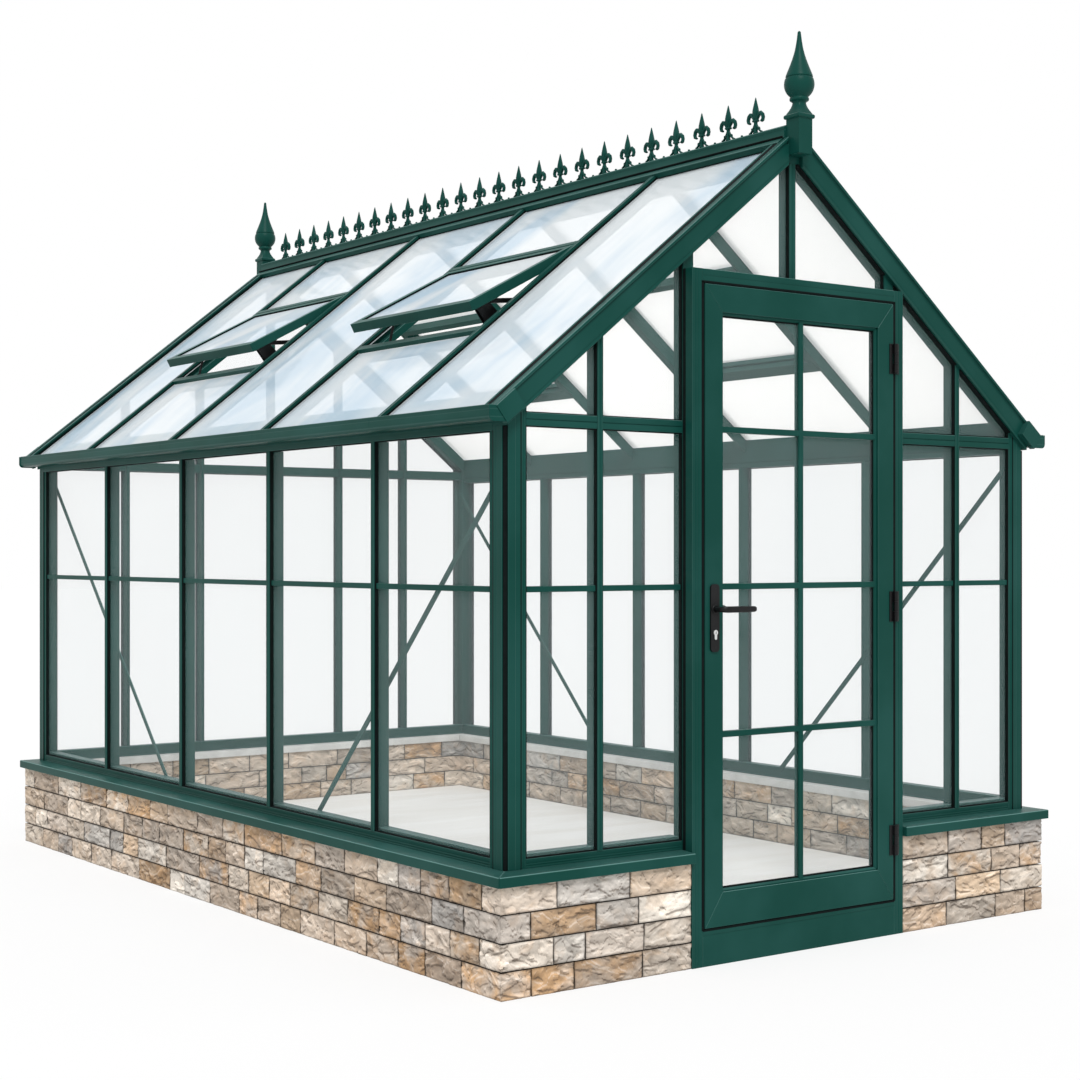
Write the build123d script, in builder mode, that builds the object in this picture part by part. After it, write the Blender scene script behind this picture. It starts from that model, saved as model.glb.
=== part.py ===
"""Glass greenhouse on a stone dwarf wall, in millimetres.

+Z is up, X runs across the gables, Y runs along the ridge and the door is in the -Y gable.
The origin is the centre of the stone base at ground level.
"""

import math
import os

from build123d import *

os.makedirs("parts", exist_ok=True)

# ---------------------------------------------------------------- driving dimensions
base_width = 2360.0  # stone base across the gables
base_length = 3680.0  # stone base along the ridge
base_wall = 150.0  # thickness of the stone wall
course_height = 81.25
course_count = 4
floor_top = 100.0  # paved floor above ground
eaves_height = 1731.0  # roof line above the side frame's outer face
roof_pitch = 38.5
side_bays = 5
back_bays = 6
roof_end_bay = 605.0  # roof bays, from a corner post's middle
vent_bay = 785.0

cill_height = 35.0
cill_projection = 17.0
cill_fall = 4.0  # slope of the cill's top
cill_round = 3.0
mitre_gap = 0.5
coping_height = 30.0
coping_overhang = 8.0

frame_setback = 45.0  # frame face behind the stone face
post_side = 60.0  # corner posts
post_notch = 14.0
stile_width = 18.0  # glazing stile beside a corner post
stile_setback = 3.0
cap_width = 20.0  # outer cap of a glazing bar
cap_round = 2.5
web_width = 8.0
fin_width = 14.0  # inner fin of a glazing bar
bar_depth = 60.0
door_bar_width = 26.0  # bar over the door
glass_setback = 16.0
glass_thickness = 4.0
glass_gap = 0.5
fit_gap = 0.3

rail_lip = 28.0  # bottom rail, height of the outer lip
rail_bed = 15.0
rail_height = 40.0
rail_setback = 4.0
transom_height = 38.0
transom_drop = 87.0  # transom's underside below the eaves height
transom_depth = 50.0
transom_lap = 10.5  # glass inside the transom's flanges
eaves_beam_drop = 102.0
eaves_beam_depth = 50.0
eaves_glass_lap = 11.5

rafter_width = 70.0  # gable rafter, measured across the slope
rafter_proud = 15.0
rafter_cap = 45.0  # along Y, above the glass
verge_lip = 8.0
verge_rise = 4.0
roof_overhang = 55.0  # bar caps past the frame face, over the gutter
glass_overhang = 43.0
ridge_beam_width = 59.0
ridge_beam_top_gap = 31.0  # ridge beam's top below the roof line's apex
ridge_beam_height = 73.0
ridge_cap_width = 76.0
ridge_cap_height = 45.0
ridge_wing = 25.0
ridge_wing_thickness = 3.0
glass_ridge_gap = 5.0

gutter_width = 72.0
gutter_height = 43.0
gutter_drop = 35.0  # gutter's top edge below the eaves height
gutter_wall = 2.5
gutter_round = 16.0
gutter_overrun = 31.0  # past the frame's gable face
gutter_cap = 3.0
gutter_cap_proud = 4.0

finial_side = 59.0
finial_setback = 15.0  # finial's centre behind the stone face
finial_collar = 71.0
finial_collar_height = 14.0
finial_height = 398.0  # from the underside of its post to the tip
finial_post = 115.0
finial_lift = 23.0  # underside of its post above the ridge beam's
finial_neck = 43.0  # narrowest turning below the ball
finial_ball = 98.0
finial_tip = 11.0
crest_pitch = 135.0
crest_end = 150.0  # least bare ridge cap beside each finial
crest_height = 108.0
crest_thickness = 8.0
crest_band = 12.0

vent_hinge = 510.0  # leaf's top edge below the roof line's apex, along the slope
vent_length = 480.0
vent_angle = 10.5
vent_rail = 26.0
vent_ledge = 22.0
vent_depth = 60.0
vent_stile = 27.0
vent_clearance = 1.5
leaf_depth = 34.0
leaf_side = 22.0
leaf_foot = 30.0
leaf_inset = 11.5  # leaf's side from the middle of the roof bar
leaf_glass_drop = 8.0
opener_width = 24.0
stay_width = 6.0

door_width = 830.0
head_clearance = 25.3  # between the door head and the rafters above its ends
door_foot = 118.0  # underside of the leaf
door_thickness = 44.0
door_proud = 3.0
door_side_gap = 7.0
door_end_gap = 6.0
door_stile = 72.0
door_top_rail = 84.0
door_bottom_rail = 106.0
door_glass_thickness = 6.0
door_glass_setback = 17.0
door_mitre = 0.3
jamb_width = 42.0
jamb_depth = 90.0
head_height = 40.0
stop_width = 18.0
stop_clearance = 5.0

hinge_height = 100.0
hinge_radius = 8.0
hinge_pin_radius = 3.0
hinge_pin_play = 0.1
hinge_knuckle_gap = 0.5
hinge_plate = 3.0
hinge_plate_width = 20.0
hinge_foot_level = 317.0
hinge_middle_level = 1096.0
hinge_top_drop = 183.0  # top hinge below the top of the leaf

spindle_level = 1100.5
spindle_radius = 8.0
spindle_play = 0.1
plate_width = 35.0
plate_height = 209.0
plate_thickness = 6.0
plate_level = 1073.5
lever_length = 130.0
lever_reach = 50.0
lever_height = 20.0
lever_thickness = 12.0
cylinder_level = 1022.6

brace_width = 20.0
brace_thickness = 4.0
brace_bays = 1.65
brace_top_drop = 150.0  # below the eaves height
brace_foot = 12.0  # above the bottom rail

# ---------------------------------------------------------------- derived places
half_width = base_width / 2
half_length = base_length / 2
wall_top = course_height * course_count
cill_top = wall_top + cill_height
frame_x = half_width - frame_setback
frame_y = half_length - frame_setback
inner_x = half_width - base_wall
inner_y = half_length - base_wall
glass_back = glass_setback + glass_thickness + glass_gap
tan_pitch = math.tan(math.radians(roof_pitch))
sin_pitch = math.sin(math.radians(roof_pitch))
cos_pitch = math.cos(math.radians(roof_pitch))
apex_z = eaves_height + frame_x * tan_pitch
ridge_beam_top = apex_z - ridge_beam_top_gap
ridge_beam_foot = ridge_beam_top - ridge_beam_height
head_z = eaves_height - eaves_beam_drop
transom_z = eaves_height - transom_drop
door_half = door_width / 2
jamb_inner = door_half + door_side_gap
jamb_outer = jamb_inner + jamb_width
threshold_top = door_foot - door_end_gap
head_top = apex_z - jamb_outer * tan_pitch - rafter_width / cos_pitch - head_clearance
head_foot = head_top - head_height
door_top = head_foot - door_end_gap
hinge_levels = (hinge_foot_level, hinge_middle_level, door_top - hinge_top_drop)
door_face = -half_length - door_proud
door_back = door_face + door_thickness
side_pitch = 2 * (frame_y - post_side / 2) / side_bays
back_pitch = 2 * (frame_x - post_side / 2) / back_bays
back_bar_x = [-frame_x + post_side / 2 + back_pitch * i for i in range(1, back_bays)]
front_bar_x = -(frame_x - post_side / 2 + jamb_outer) / 2 - 1.0
bay_ends = frame_y - post_side / 2
side_lines = [-bay_ends + side_pitch * i for i in range(side_bays + 1)]
roof_bar_y = [-bay_ends + roof_end_bay, -bay_ends + roof_end_bay + vent_bay]
roof_bar_y += [-y for y in reversed(roof_bar_y)]
roof_lines = [-bay_ends, *roof_bar_y, bay_ends]
vent_bays = (1, 3)  # bays counted from the door gable
roof_end_y = frame_y - post_side  # first glass edge beside a gable rafter


# ---------------------------------------------------------------- shared makers
def block(x_range, y_range, z_range, mode=Mode.ADD):
    """A box between two corners, in the part being built."""
    sizes = [high - low for low, high in (x_range, y_range, z_range)]
    middle = [(high + low) / 2 for low, high in (x_range, y_range, z_range)]
    with Locations(tuple(middle)):
        Box(*sizes, mode=mode)


def prism(plane, points, amount, mode=Mode.ADD):
    """A polygon on a plane, extruded along the plane's normal."""
    with BuildSketch(plane) as outline:
        Polygon(*points, align=None)
    extrude(outline.sketch, amount=amount, mode=mode)


def along_y(points, y_range, mode=Mode.ADD):
    """A polygon of (x, z) points, solid from the first y to the second."""
    prism(Plane.XZ.offset(-y_range[1]), points, y_range[1] - y_range[0], mode)


def along_x(points, x_range, mode=Mode.ADD):
    """A polygon of (y, z) points, solid from the first x to the second."""
    prism(Plane.YZ.offset(x_range[0]), points, x_range[1] - x_range[0], mode)


def roof_z(x, depth=0.0):
    """Height of the roof line at x, or of the line that lies depth below it."""
    return apex_z - abs(x) * tan_pitch - depth / cos_pitch


def slope_strip(x_low, x_high, top, bottom):
    """A strip of the left slope with upright ends, between two depths below the roof line."""
    return [
        (-x_low, roof_z(x_low, top)),
        (-x_high, roof_z(x_high, top)),
        (-x_high, roof_z(x_high, bottom)),
        (-x_low, roof_z(x_low, bottom)),
    ]


def slope_point(run, depth):
    """The (x, z) point of the left slope, run below the apex and depth under the roof line."""
    x = -run * cos_pitch + depth * sin_pitch
    z = apex_z - run * sin_pitch - depth * cos_pitch
    return (x, z)


def slope_block(run_range, depth_range):
    """A rectangle of the left slope, square to it."""
    corners = [(0, 0), (1, 0), (1, 1), (0, 1)]
    return [slope_point(run_range[i], depth_range[j]) for i, j in corners]


def cut_under_rafters():
    """Trims the part being built to the underside of both gable rafters."""
    origin = (0, 0, apex_z - rafter_width / cos_pitch)
    for side in (-1, 1):
        normal = (side * sin_pitch, 0, cos_pitch)
        split(bisect_by=Plane(origin=origin, z_dir=normal), keep=Keep.BOTTOM)


def glazing_bar(x, y, x_dir, spans, width=cap_width):
    """An upright glazing bar: outer cap, web between the panes and inner fin.

    x_dir runs along the wall, so that the plane's own y points outwards; spans are the
    (foot, top) heights of cap, web and fin.
    """
    foot = Plane(origin=(x, y, 0), x_dir=x_dir, z_dir=(0, 0, 1))
    (cap_foot, cap_head), (web_foot, web_head), (fin_foot, fin_head) = spans
    with BuildSketch(foot.offset(cap_foot)) as cap:
        with Locations((0, -glass_setback / 2)):
            Rectangle(width, glass_setback)
        fillet(cap.vertices().group_by(Axis.Y)[-1], radius=cap_round)
    extrude(cap.sketch, amount=cap_head - cap_foot)
    with BuildSketch(foot.offset(web_foot)) as web:
        with Locations((0, -(glass_setback + glass_back) / 2)):
            Rectangle(web_width, glass_back - glass_setback)
    extrude(web.sketch, amount=web_head - web_foot)
    with BuildSketch(foot.offset(fin_foot)) as fin:
        with Locations((0, -(glass_back + bar_depth) / 2)):
            Rectangle(fin_width, bar_depth - glass_back)
    extrude(fin.sketch, amount=fin_head - fin_foot)


# ---------------------------------------------------------------- stone base and floor
for side, name in ((-1, "left"), (1, "right")):
    x_range = sorted((side * half_width, side * inner_x))
    with BuildPart() as side_wall:
        block(x_range, (-half_length, half_length), (0, wall_top))
    side_wall.part.label = f"dwarf_wall_{name}"
    export_step(side_wall.part, f"parts/dwarf_wall_{name}.step")

    x_range = sorted((side * inner_x, side * (jamb_outer + fit_gap)))
    with BuildPart() as front_wall:
        block(x_range, (-half_length, -inner_y), (0, wall_top))
    front_wall.part.label = f"dwarf_wall_front_{name}"
    export_step(front_wall.part, f"parts/dwarf_wall_front_{name}.step")

with BuildPart() as dwarf_wall_back:
    block((-inner_x, inner_x), (inner_y, half_length), (0, wall_top))
dwarf_wall_back.part.label = "dwarf_wall_back"
export_step(dwarf_wall_back.part, "parts/dwarf_wall_back.step")

jamb_back = -half_length + jamb_depth
with BuildPart() as floor_slab:
    block((-inner_x, inner_x), (-inner_y, inner_y), (0, floor_top))
    block((-jamb_outer, jamb_outer), (jamb_back, -inner_y), (0, floor_top))
floor_slab.part.label = "floor_slab"
export_step(floor_slab.part, "parts/floor_slab.step")

# ---------------------------------------------------------------- cill and coping
cill_inner = frame_setback + post_side  # behind the stone face
cill_profile = [
    (-cill_projection, wall_top),
    (-cill_projection, cill_top - cill_fall),
    (frame_setback, cill_top),
    (cill_inner, cill_top),
    (cill_inner, wall_top),
]


def cill_length(stone_corner, inward, along, start, end):
    """One length of cill: inward points off the stone face, along is the run's direction."""
    plane = Plane(origin=stone_corner, x_dir=inward, z_dir=along)
    flip = 1 if plane.y_dir.Z > 0 else -1
    points = [(u, flip * v) for u, v in cill_profile]
    with BuildSketch(plane.offset(start)) as profile:
        Polygon(*points, align=None)
        outer_corners = profile.vertices().group_by(Axis.X)[0]
        nose = outer_corners.sort_by(lambda corner: flip * corner.Y)[-1]
        fillet(nose, radius=cill_round)
    extrude(profile.sketch, amount=end - start)


def mitre(corner, normal):
    """Keeps what lies on the normal's side of an upright plane through a corner."""
    unit = Vector(*normal).normalized()
    origin = Vector(*corner) + unit * (mitre_gap / 2)
    split(bisect_by=Plane(origin=origin, z_dir=unit), keep=Keep.TOP)


run = cill_projection
with BuildPart() as side_cill:
    cill_length((-half_width, -half_length, 0), (1, 0, 0), (0, 1, 0), -run, base_length + run)
    mitre((-half_width, -half_length, 0), (-1, 1, 0))
    mitre((-half_width, half_length, 0), (-1, -1, 0))
with BuildPart() as back_cill:
    cill_length((-half_width, half_length, 0), (0, -1, 0), (1, 0, 0), -run, base_width + run)
    mitre((-half_width, half_length, 0), (1, 1, 0))
    mitre((half_width, half_length, 0), (-1, 1, 0))
with BuildPart() as front_cill:
    cill_length(
        (-half_width, -half_length, 0),
        (0, 1, 0),
        (1, 0, 0),
        -run,
        half_width - jamb_outer - fit_gap,
    )
    mitre((-half_width, -half_length, 0), (1, -1, 0))
with BuildPart() as base_cill:
    add(side_cill.part)
    add(back_cill.part)
    add(front_cill.part)
    mirror(side_cill.part, about=Plane.YZ)
    mirror(front_cill.part, about=Plane.YZ)
base_cill.part.label = "base_cill"
export_step(base_cill.part, "parts/base_cill.step")

coping_out_x = half_width - cill_inner - fit_gap
coping_out_y = half_length - cill_inner - fit_gap
coping_in_x = inner_x - coping_overhang
coping_in_y = inner_y - coping_overhang
coping_z = (wall_top, wall_top + coping_height)
with BuildPart() as inner_coping:
    for side in (-1, 1):
        x_range = sorted((side * coping_out_x, side * coping_in_x))
        block(x_range, (-coping_out_y, coping_out_y), coping_z)
        x_range = sorted((side * (coping_in_x - mitre_gap), side * (jamb_outer + fit_gap)))
        block(x_range, (-coping_out_y, -coping_in_y), coping_z)
    reach = coping_in_x - mitre_gap
    block((-reach, reach), (coping_in_y, coping_out_y), coping_z)
inner_coping.part.label = "inner_coping"
export_step(inner_coping.part, "parts/inner_coping.step")

# ---------------------------------------------------------------- bottom rails
lip_start = post_side + stile_width + fit_gap
body_start = post_side + fit_gap
lip_z = (cill_top, cill_top + rail_lip)
bed_z = (cill_top, cill_top + rail_bed)
back_z = (cill_top, cill_top + rail_height)


def gable_rail(x_low, x_high, low_is_corner, high_is_corner):
    """A bottom rail of the door gable between two uprights."""
    lip = [
        x_low + (stile_width if low_is_corner else 0),
        x_high - (stile_width if high_is_corner else 0),
    ]
    block(lip, (-frame_y + rail_setback, -frame_y + glass_setback), lip_z)
    block((x_low, x_high), (-frame_y + glass_setback, -frame_y + post_side), bed_z)
    block((x_low, x_high), (-frame_y + glass_back, -frame_y + post_side), back_z)


with BuildPart() as front_rail:
    gable_rail(-frame_x + body_start, -jamb_outer - fit_gap, True, False)
with BuildPart() as back_rail:
    gable_rail(-frame_x + body_start, frame_x - body_start, True, True)
with BuildPart() as side_rail:
    lip_end = frame_y - lip_start
    body_end = frame_y - body_start
    block((-frame_x + rail_setback, -frame_x + glass_setback), (-lip_end, lip_end), lip_z)
    block((-frame_x + glass_setback, -frame_x + post_side), (-body_end, body_end), bed_z)
    block((-frame_x + glass_back, -frame_x + post_side), (-body_end, body_end), back_z)
with BuildPart() as bottom_rails:
    add(front_rail.part)
    mirror(front_rail.part, about=Plane.YZ)
    mirror(back_rail.part, about=Plane.XZ)
    add(side_rail.part)
    mirror(side_rail.part, about=Plane.YZ)
bottom_rails.part.label = "bottom_rails"
export_step(bottom_rails.part, "parts/bottom_rails.step")

# ---------------------------------------------------------------- corner posts
with BuildPart() as corner_post:
    notched = [
        (-frame_x + post_notch, -frame_y),
        (-frame_x + post_side, -frame_y),
        (-frame_x + post_side, -frame_y + post_side),
        (-frame_x, -frame_y + post_side),
        (-frame_x, -frame_y + post_notch),
        (-frame_x + post_notch, -frame_y + post_notch),
    ]
    prism(Plane.XY.offset(cill_top), notched, eaves_height - cill_top)
    stile_y = (-frame_y + stile_setback, -frame_y + glass_setback)
    stile_x = (-frame_x + post_side, -frame_x + post_side + stile_width)
    block(stile_x, stile_y, (cill_top, eaves_height))
    stile_x = (-frame_x + stile_setback, -frame_x + glass_setback)
    stile_y = (-frame_y + post_side, -frame_y + post_side + stile_width)
    block(stile_x, stile_y, (cill_top, head_z))
    cut_under_rafters()
with BuildPart() as corner_posts:
    add(corner_post.part)
    mirror(corner_post.part, about=Plane.XZ)
    mirror(about=Plane.YZ)
corner_posts.part.label = "corner_posts"
export_step(corner_posts.part, "parts/corner_posts.step")

# ---------------------------------------------------------------- wall bars
wall_spans = (
    (lip_z[1], head_z),
    (bed_z[1], head_z + eaves_glass_lap),
    (back_z[1], head_z),
)
with BuildPart() as side_wall_posts:
    for post_y in side_lines[1:-1]:
        glazing_bar(-frame_x, post_y, (0, 1, 0), wall_spans)
    mirror(about=Plane.YZ)
side_wall_posts.part.label = "side_wall_posts"
export_step(side_wall_posts.part, "parts/side_wall_posts.step")

gable_spans = tuple((foot, ridge_beam_foot) for foot in (lip_z[1], bed_z[1], back_z[1]))
over_door = ((head_top, ridge_beam_foot),) * 3
with BuildPart() as front_mullions:
    glazing_bar(front_bar_x, -frame_y, (-1, 0, 0), gable_spans)
    mirror(about=Plane.YZ)
    glazing_bar(0, -frame_y, (-1, 0, 0), over_door, door_bar_width)
    cut_under_rafters()
front_mullions.part.label = "front_mullions"
export_step(front_mullions.part, "parts/front_mullions.step")

with BuildPart() as back_mullions:
    for bar_x in back_bar_x:
        glazing_bar(bar_x, frame_y, (1, 0, 0), gable_spans)
    cut_under_rafters()
back_mullions.part.label = "back_mullions"
export_step(back_mullions.part, "parts/back_mullions.step")

# ---------------------------------------------------------------- eaves beams and transoms
beam_inner = frame_x - eaves_beam_depth
beam_profile = [
    (-frame_x, head_z),
    (-frame_x + glass_setback, head_z),
    (-frame_x + glass_setback, head_z + eaves_glass_lap),
    (-frame_x + glass_back, head_z + eaves_glass_lap),
    (-frame_x + glass_back, head_z),
    (-beam_inner, head_z),
    (-beam_inner, roof_z(beam_inner, glass_back)),
    (-frame_x, roof_z(frame_x, glass_back)),
]
with BuildPart() as eaves_beams:
    along_y(beam_profile, (-roof_end_y, roof_end_y))
    mirror(about=Plane.YZ)
eaves_beams.part.label = "eaves_beams"
export_step(eaves_beams.part, "parts/eaves_beams.step")


def transom(x_low, x_high, low_edge, high_edge):
    """A transom of the door gable; each edge is (cap, web, fin) clearances from the upright."""
    flange_z = (transom_z, transom_z + transom_height)
    web_z = (transom_z + transom_lap, transom_z + transom_height - transom_lap)
    layers = (
        (stile_setback - 1, glass_setback, flange_z),
        (glass_setback, glass_back, web_z),
        (glass_back, transom_depth, flange_z),
    )
    for (front, rear, z_range), low, high in zip(layers, low_edge, high_edge):
        block((x_low + low, x_high - high), (-frame_y + front, -frame_y + rear), z_range)


bar_edge = (cap_width / 2 + fit_gap, web_width / 2 + fit_gap, fin_width / 2 + fit_gap)
corner_edge = (lip_start, body_start, body_start)
jamb_edge = (fit_gap, fit_gap, fit_gap)
with BuildPart() as front_transoms:
    transom(-frame_x, front_bar_x, corner_edge, bar_edge)
    transom(front_bar_x, -jamb_outer, bar_edge, jamb_edge)
    mirror(about=Plane.YZ)
with BuildPart() as back_transoms:
    for bay in range(back_bays):
        low = -frame_x if bay == 0 else back_bar_x[bay - 1]
        high = frame_x if bay == back_bays - 1 else back_bar_x[bay]
        low_edge = corner_edge if bay == 0 else bar_edge
        high_edge = corner_edge if bay == back_bays - 1 else bar_edge
        transom(low, high, low_edge, high_edge)
with BuildPart() as gable_transoms:
    add(front_transoms.part)
    mirror(back_transoms.part, about=Plane.XZ)
gable_transoms.part.label = "gable_transoms"
export_step(gable_transoms.part, "parts/gable_transoms.step")

# ---------------------------------------------------------------- roof frame
cap_end = frame_x + roof_overhang
ridge_half = ridge_beam_width / 2
with BuildPart() as gable_rafter:
    face_y = -frame_y - rafter_proud
    above = slope_strip(cap_end, ridge_cap_width / 2 + fit_gap, 0, glass_setback)
    along_y(above, (face_y, face_y + rafter_cap))
    below = slope_strip(frame_x, ridge_half + fit_gap, glass_setback, rafter_width)
    along_y(below, (face_y, face_y + rafter_cap))
    shelf = slope_strip(frame_x, ridge_half + fit_gap, glass_back, rafter_width)
    along_y(shelf, (face_y + rafter_cap, -roof_end_y))
    lip = slope_strip(cap_end, ridge_cap_width / 2 + fit_gap, -verge_rise, verge_rise)
    along_y(lip, (face_y - verge_lip, face_y + rafter_cap + verge_lip))
with BuildPart() as gable_rafters:
    add(gable_rafter.part)
    mirror(gable_rafter.part, about=Plane.XZ)
    mirror(about=Plane.YZ)
gable_rafters.part.label = "gable_rafters"
export_step(gable_rafters.part, "parts/gable_rafters.step")

glass_low = frame_x + glass_overhang
glass_high = ridge_half + glass_ridge_gap
cap_high = ridge_cap_width / 2 + fit_gap
with BuildPart() as roof_bars:
    for bar_y in roof_bar_y:
        half = cap_width / 2
        along_y(slope_strip(cap_end, cap_high, 0, glass_setback), (bar_y - half, bar_y + half))
        half = web_width / 2
        web = slope_strip(glass_low, glass_high, glass_setback, glass_back)
        along_y(web, (bar_y - half, bar_y + half))
        half = fin_width / 2
        fin = slope_strip(beam_inner - fit_gap, ridge_half + fit_gap, glass_back, bar_depth)
        along_y(fin, (bar_y - half, bar_y + half))
    mirror(about=Plane.YZ)
roof_bars.part.label = "roof_bars"
export_step(roof_bars.part, "parts/roof_bars.step")

finial_centre = half_length - finial_setback
ridge_end = finial_centre - finial_side / 2 - fit_gap
crest_count = int(2 * (ridge_end - crest_end) / crest_pitch) + 1
with BuildPart() as ridge_beam:
    x_range = (-ridge_half, ridge_half)
    block(x_range, (-ridge_end, ridge_end), (ridge_beam_foot, ridge_beam_top))
ridge_beam.part.label = "ridge_beam"
export_step(ridge_beam.part, "parts/ridge_beam.step")

ridge_top = ridge_beam_top + ridge_cap_height
cap_half = ridge_cap_width / 2
wing_end = cap_half + ridge_wing
wing_lift = -verge_rise - fit_gap
with BuildPart() as ridge_cap:
    block((-cap_half, cap_half), (-ridge_end, ridge_end), (ridge_beam_top, ridge_top))
    top_edges = ridge_cap.edges().filter_by(Axis.Y).group_by(Axis.Z)[-1]
    fillet(top_edges, radius=cill_round)
    for side in (-1, 1):
        wing = slope_strip(wing_end, cap_half - 5, wing_lift - ridge_wing_thickness, wing_lift)
        wing = [(side * x, z) for x, z in wing]
        along_y(wing, (-ridge_end, ridge_end))
ridge_cap.part.label = "ridge_cap"
export_step(ridge_cap.part, "parts/ridge_cap.step")

# ---------------------------------------------------------------- cresting and finials
spike_foot = crest_band + 0.42 * crest_height
with BuildPart() as ridge_cresting:
    with BuildSketch(Plane.YZ.offset(-crest_thickness / 2)) as crest:
        with Locations((0, ridge_top + crest_band / 2)):
            Rectangle(2 * ridge_end, crest_band)
        with Locations((0, ridge_top)):
            with GridLocations(crest_pitch, 0, crest_count, 1):
                foot = 0.16 * crest_pitch
                waist = 0.05 * crest_pitch
                spike = 0.11 * crest_pitch
                tip_z = crest_band + crest_height
                Polygon(
                    (-foot, crest_band - 1),
                    (foot, crest_band - 1),
                    (waist, crest_band + 0.14 * crest_height),
                    (waist, spike_foot - 0.1 * crest_height),
                    (spike, spike_foot + 0.12 * crest_height),
                    (1.5, tip_z),
                    (-1.5, tip_z),
                    (-spike, spike_foot + 0.12 * crest_height),
                    (-waist, spike_foot - 0.1 * crest_height),
                    (-waist, crest_band + 0.14 * crest_height),
                    align=None,
                )
                for side in (-1, 1):
                    with Locations((side * 0.17 * crest_pitch, spike_foot)):
                        Circle(0.11 * crest_pitch)
                    with Locations((side * 0.09 * crest_pitch, spike_foot - 6)):
                        Rectangle(0.12 * crest_pitch, 9)
    extrude(crest.sketch, amount=crest_thickness)
ridge_cresting.part.label = "ridge_cresting"
export_step(ridge_cresting.part, "parts/ridge_cresting.step")

collar_z = finial_post
neck_z = collar_z + finial_collar_height
ring_z = neck_z + 46
ball_r = finial_ball / 2
ball_z = neck_z + 97
groove_z = ball_z + 0.42 * ball_r
spire_z = groove_z + 4
flare_r = 0.44 * finial_collar
neck_r = finial_neck / 2
ring_r = 0.64 * ball_r
lip_r = 0.93 * ball_r
spire_r = 0.87 * ball_r
tip_r = finial_tip / 2
with BuildPart() as finial:
    with BuildSketch(Plane.XY):
        Rectangle(finial_side, finial_side)
    extrude(amount=finial_post)
    with BuildSketch(Plane.XY.offset(collar_z)):
        Rectangle(finial_collar, finial_collar)
    extrude(amount=finial_collar_height)
    collar_edges = finial.edges().group_by(Axis.Z)[-1] + finial.edges().filter_by(
        lambda edge: abs(edge.center().Z - collar_z) < 0.01 and edge.length > finial_side + 1
    )
    fillet(collar_edges, radius=0.35 * finial_collar_height)
    with BuildSketch(Plane.XZ):
        with BuildLine():
            Line((0, neck_z - 1), (flare_r, neck_z - 1))
            Line((flare_r, neck_z - 1), (flare_r, neck_z))
            Spline((flare_r, neck_z), (neck_r + 3, neck_z + 18), (neck_r, neck_z + 34))
            Polyline((neck_r, neck_z + 34), (ring_r, ring_z), (ring_r, ring_z + 10))
            Line((ring_r, ring_z + 10), (0.6 * ball_r, ring_z + 13))
            ThreePointArc((0.6 * ball_r, ring_z + 13), (ball_r, ball_z), (lip_r, groove_z))
            Polyline((lip_r, groove_z), (spire_r, groove_z + 1), (spire_r, spire_z))
            Spline(
                (spire_r, spire_z),
                (0.53 * ball_r, spire_z + 48),
                (0.3 * ball_r, spire_z + 82),
                (tip_r, finial_height - 4),
            )
            Polyline((tip_r, finial_height - 4), (0.5 * tip_r, finial_height))
            Line((0.5 * tip_r, finial_height), (0, finial_height))
            Line((0, finial_height), (0, neck_z - 1))
        make_face()
    revolve(axis=Axis.Z)
with BuildPart() as finials:
    for side in (-1, 1):
        with Locations((0, side * finial_centre, ridge_beam_foot + finial_lift)):
            add(finial.part)
finials.part.label = "finials"
export_step(finials.part, "parts/finials.step")

# ---------------------------------------------------------------- gutters
gutter_top = eaves_height - gutter_drop
gutter_end = frame_y + gutter_overrun


def gutter_section(inset, rise, y_range, mode=Mode.ADD):
    """The gutter's outline on the left side, inset all round, solid over a range of y."""
    outer = -frame_x - gutter_width + inset
    inner = min(-frame_x, -frame_x - inset)
    bottom = gutter_top - gutter_height + inset
    top = gutter_top + rise
    with BuildSketch(Plane.XZ.offset(-y_range[1])) as section:
        Polygon((outer, bottom), (inner, bottom), (inner, top), (outer, top), align=None)
        fillet(section.vertices().group_by(Axis.Y)[0].sort_by(Axis.X)[0], radius=gutter_round)
    extrude(section.sketch, amount=y_range[1] - y_range[0], mode=mode)


with BuildPart() as gutter:
    gutter_section(0, 0, (-gutter_end, gutter_end))
    gutter_section(gutter_wall, 1, (-gutter_end, gutter_end), Mode.SUBTRACT)
    for low in (-gutter_end - gutter_cap, gutter_end):
        gutter_section(-gutter_cap_proud, 0, (low, low + gutter_cap))
with BuildPart() as gutters:
    add(gutter.part)
    mirror(gutter.part, about=Plane.YZ)
gutters.part.label = "gutters"
export_step(gutters.part, "parts/gutters.step")

# ---------------------------------------------------------------- roof vents
vent_spans = [(roof_lines[bay], roof_lines[bay + 1]) for bay in vent_bays]
curb_edge = cap_width / 2 + fit_gap
fin_edge = fin_width / 2 + fit_gap
ledge_depth = leaf_depth + fit_gap
leaf_end = vent_hinge + vent_length
foot_inner = leaf_end - vent_ledge
foot_outer = leaf_end + vent_clearance + vent_rail
hinge_inner = vent_hinge - fit_gap
hinge_outer = hinge_inner - vent_rail

with BuildPart() as vent_curb_rails:
    head_rail = slope_block((hinge_outer, hinge_inner), (0, vent_depth))
    foot_rail = [
        slope_point(foot_inner, vent_depth),
        slope_point(foot_inner, ledge_depth),
        slope_point(leaf_end + vent_clearance, ledge_depth),
        slope_point(leaf_end + vent_clearance, 0),
        slope_point(foot_outer, 0),
        slope_point(foot_outer, vent_depth),
    ]
    for low, high in vent_spans:
        along_y(head_rail, (low + curb_edge, high - curb_edge))
        along_y(foot_rail, (low + curb_edge, high - curb_edge))
    mirror(about=Plane.YZ)
vent_curb_rails.part.label = "vent_curb_rails"
export_step(vent_curb_rails.part, "parts/vent_curb_rails.step")

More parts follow.
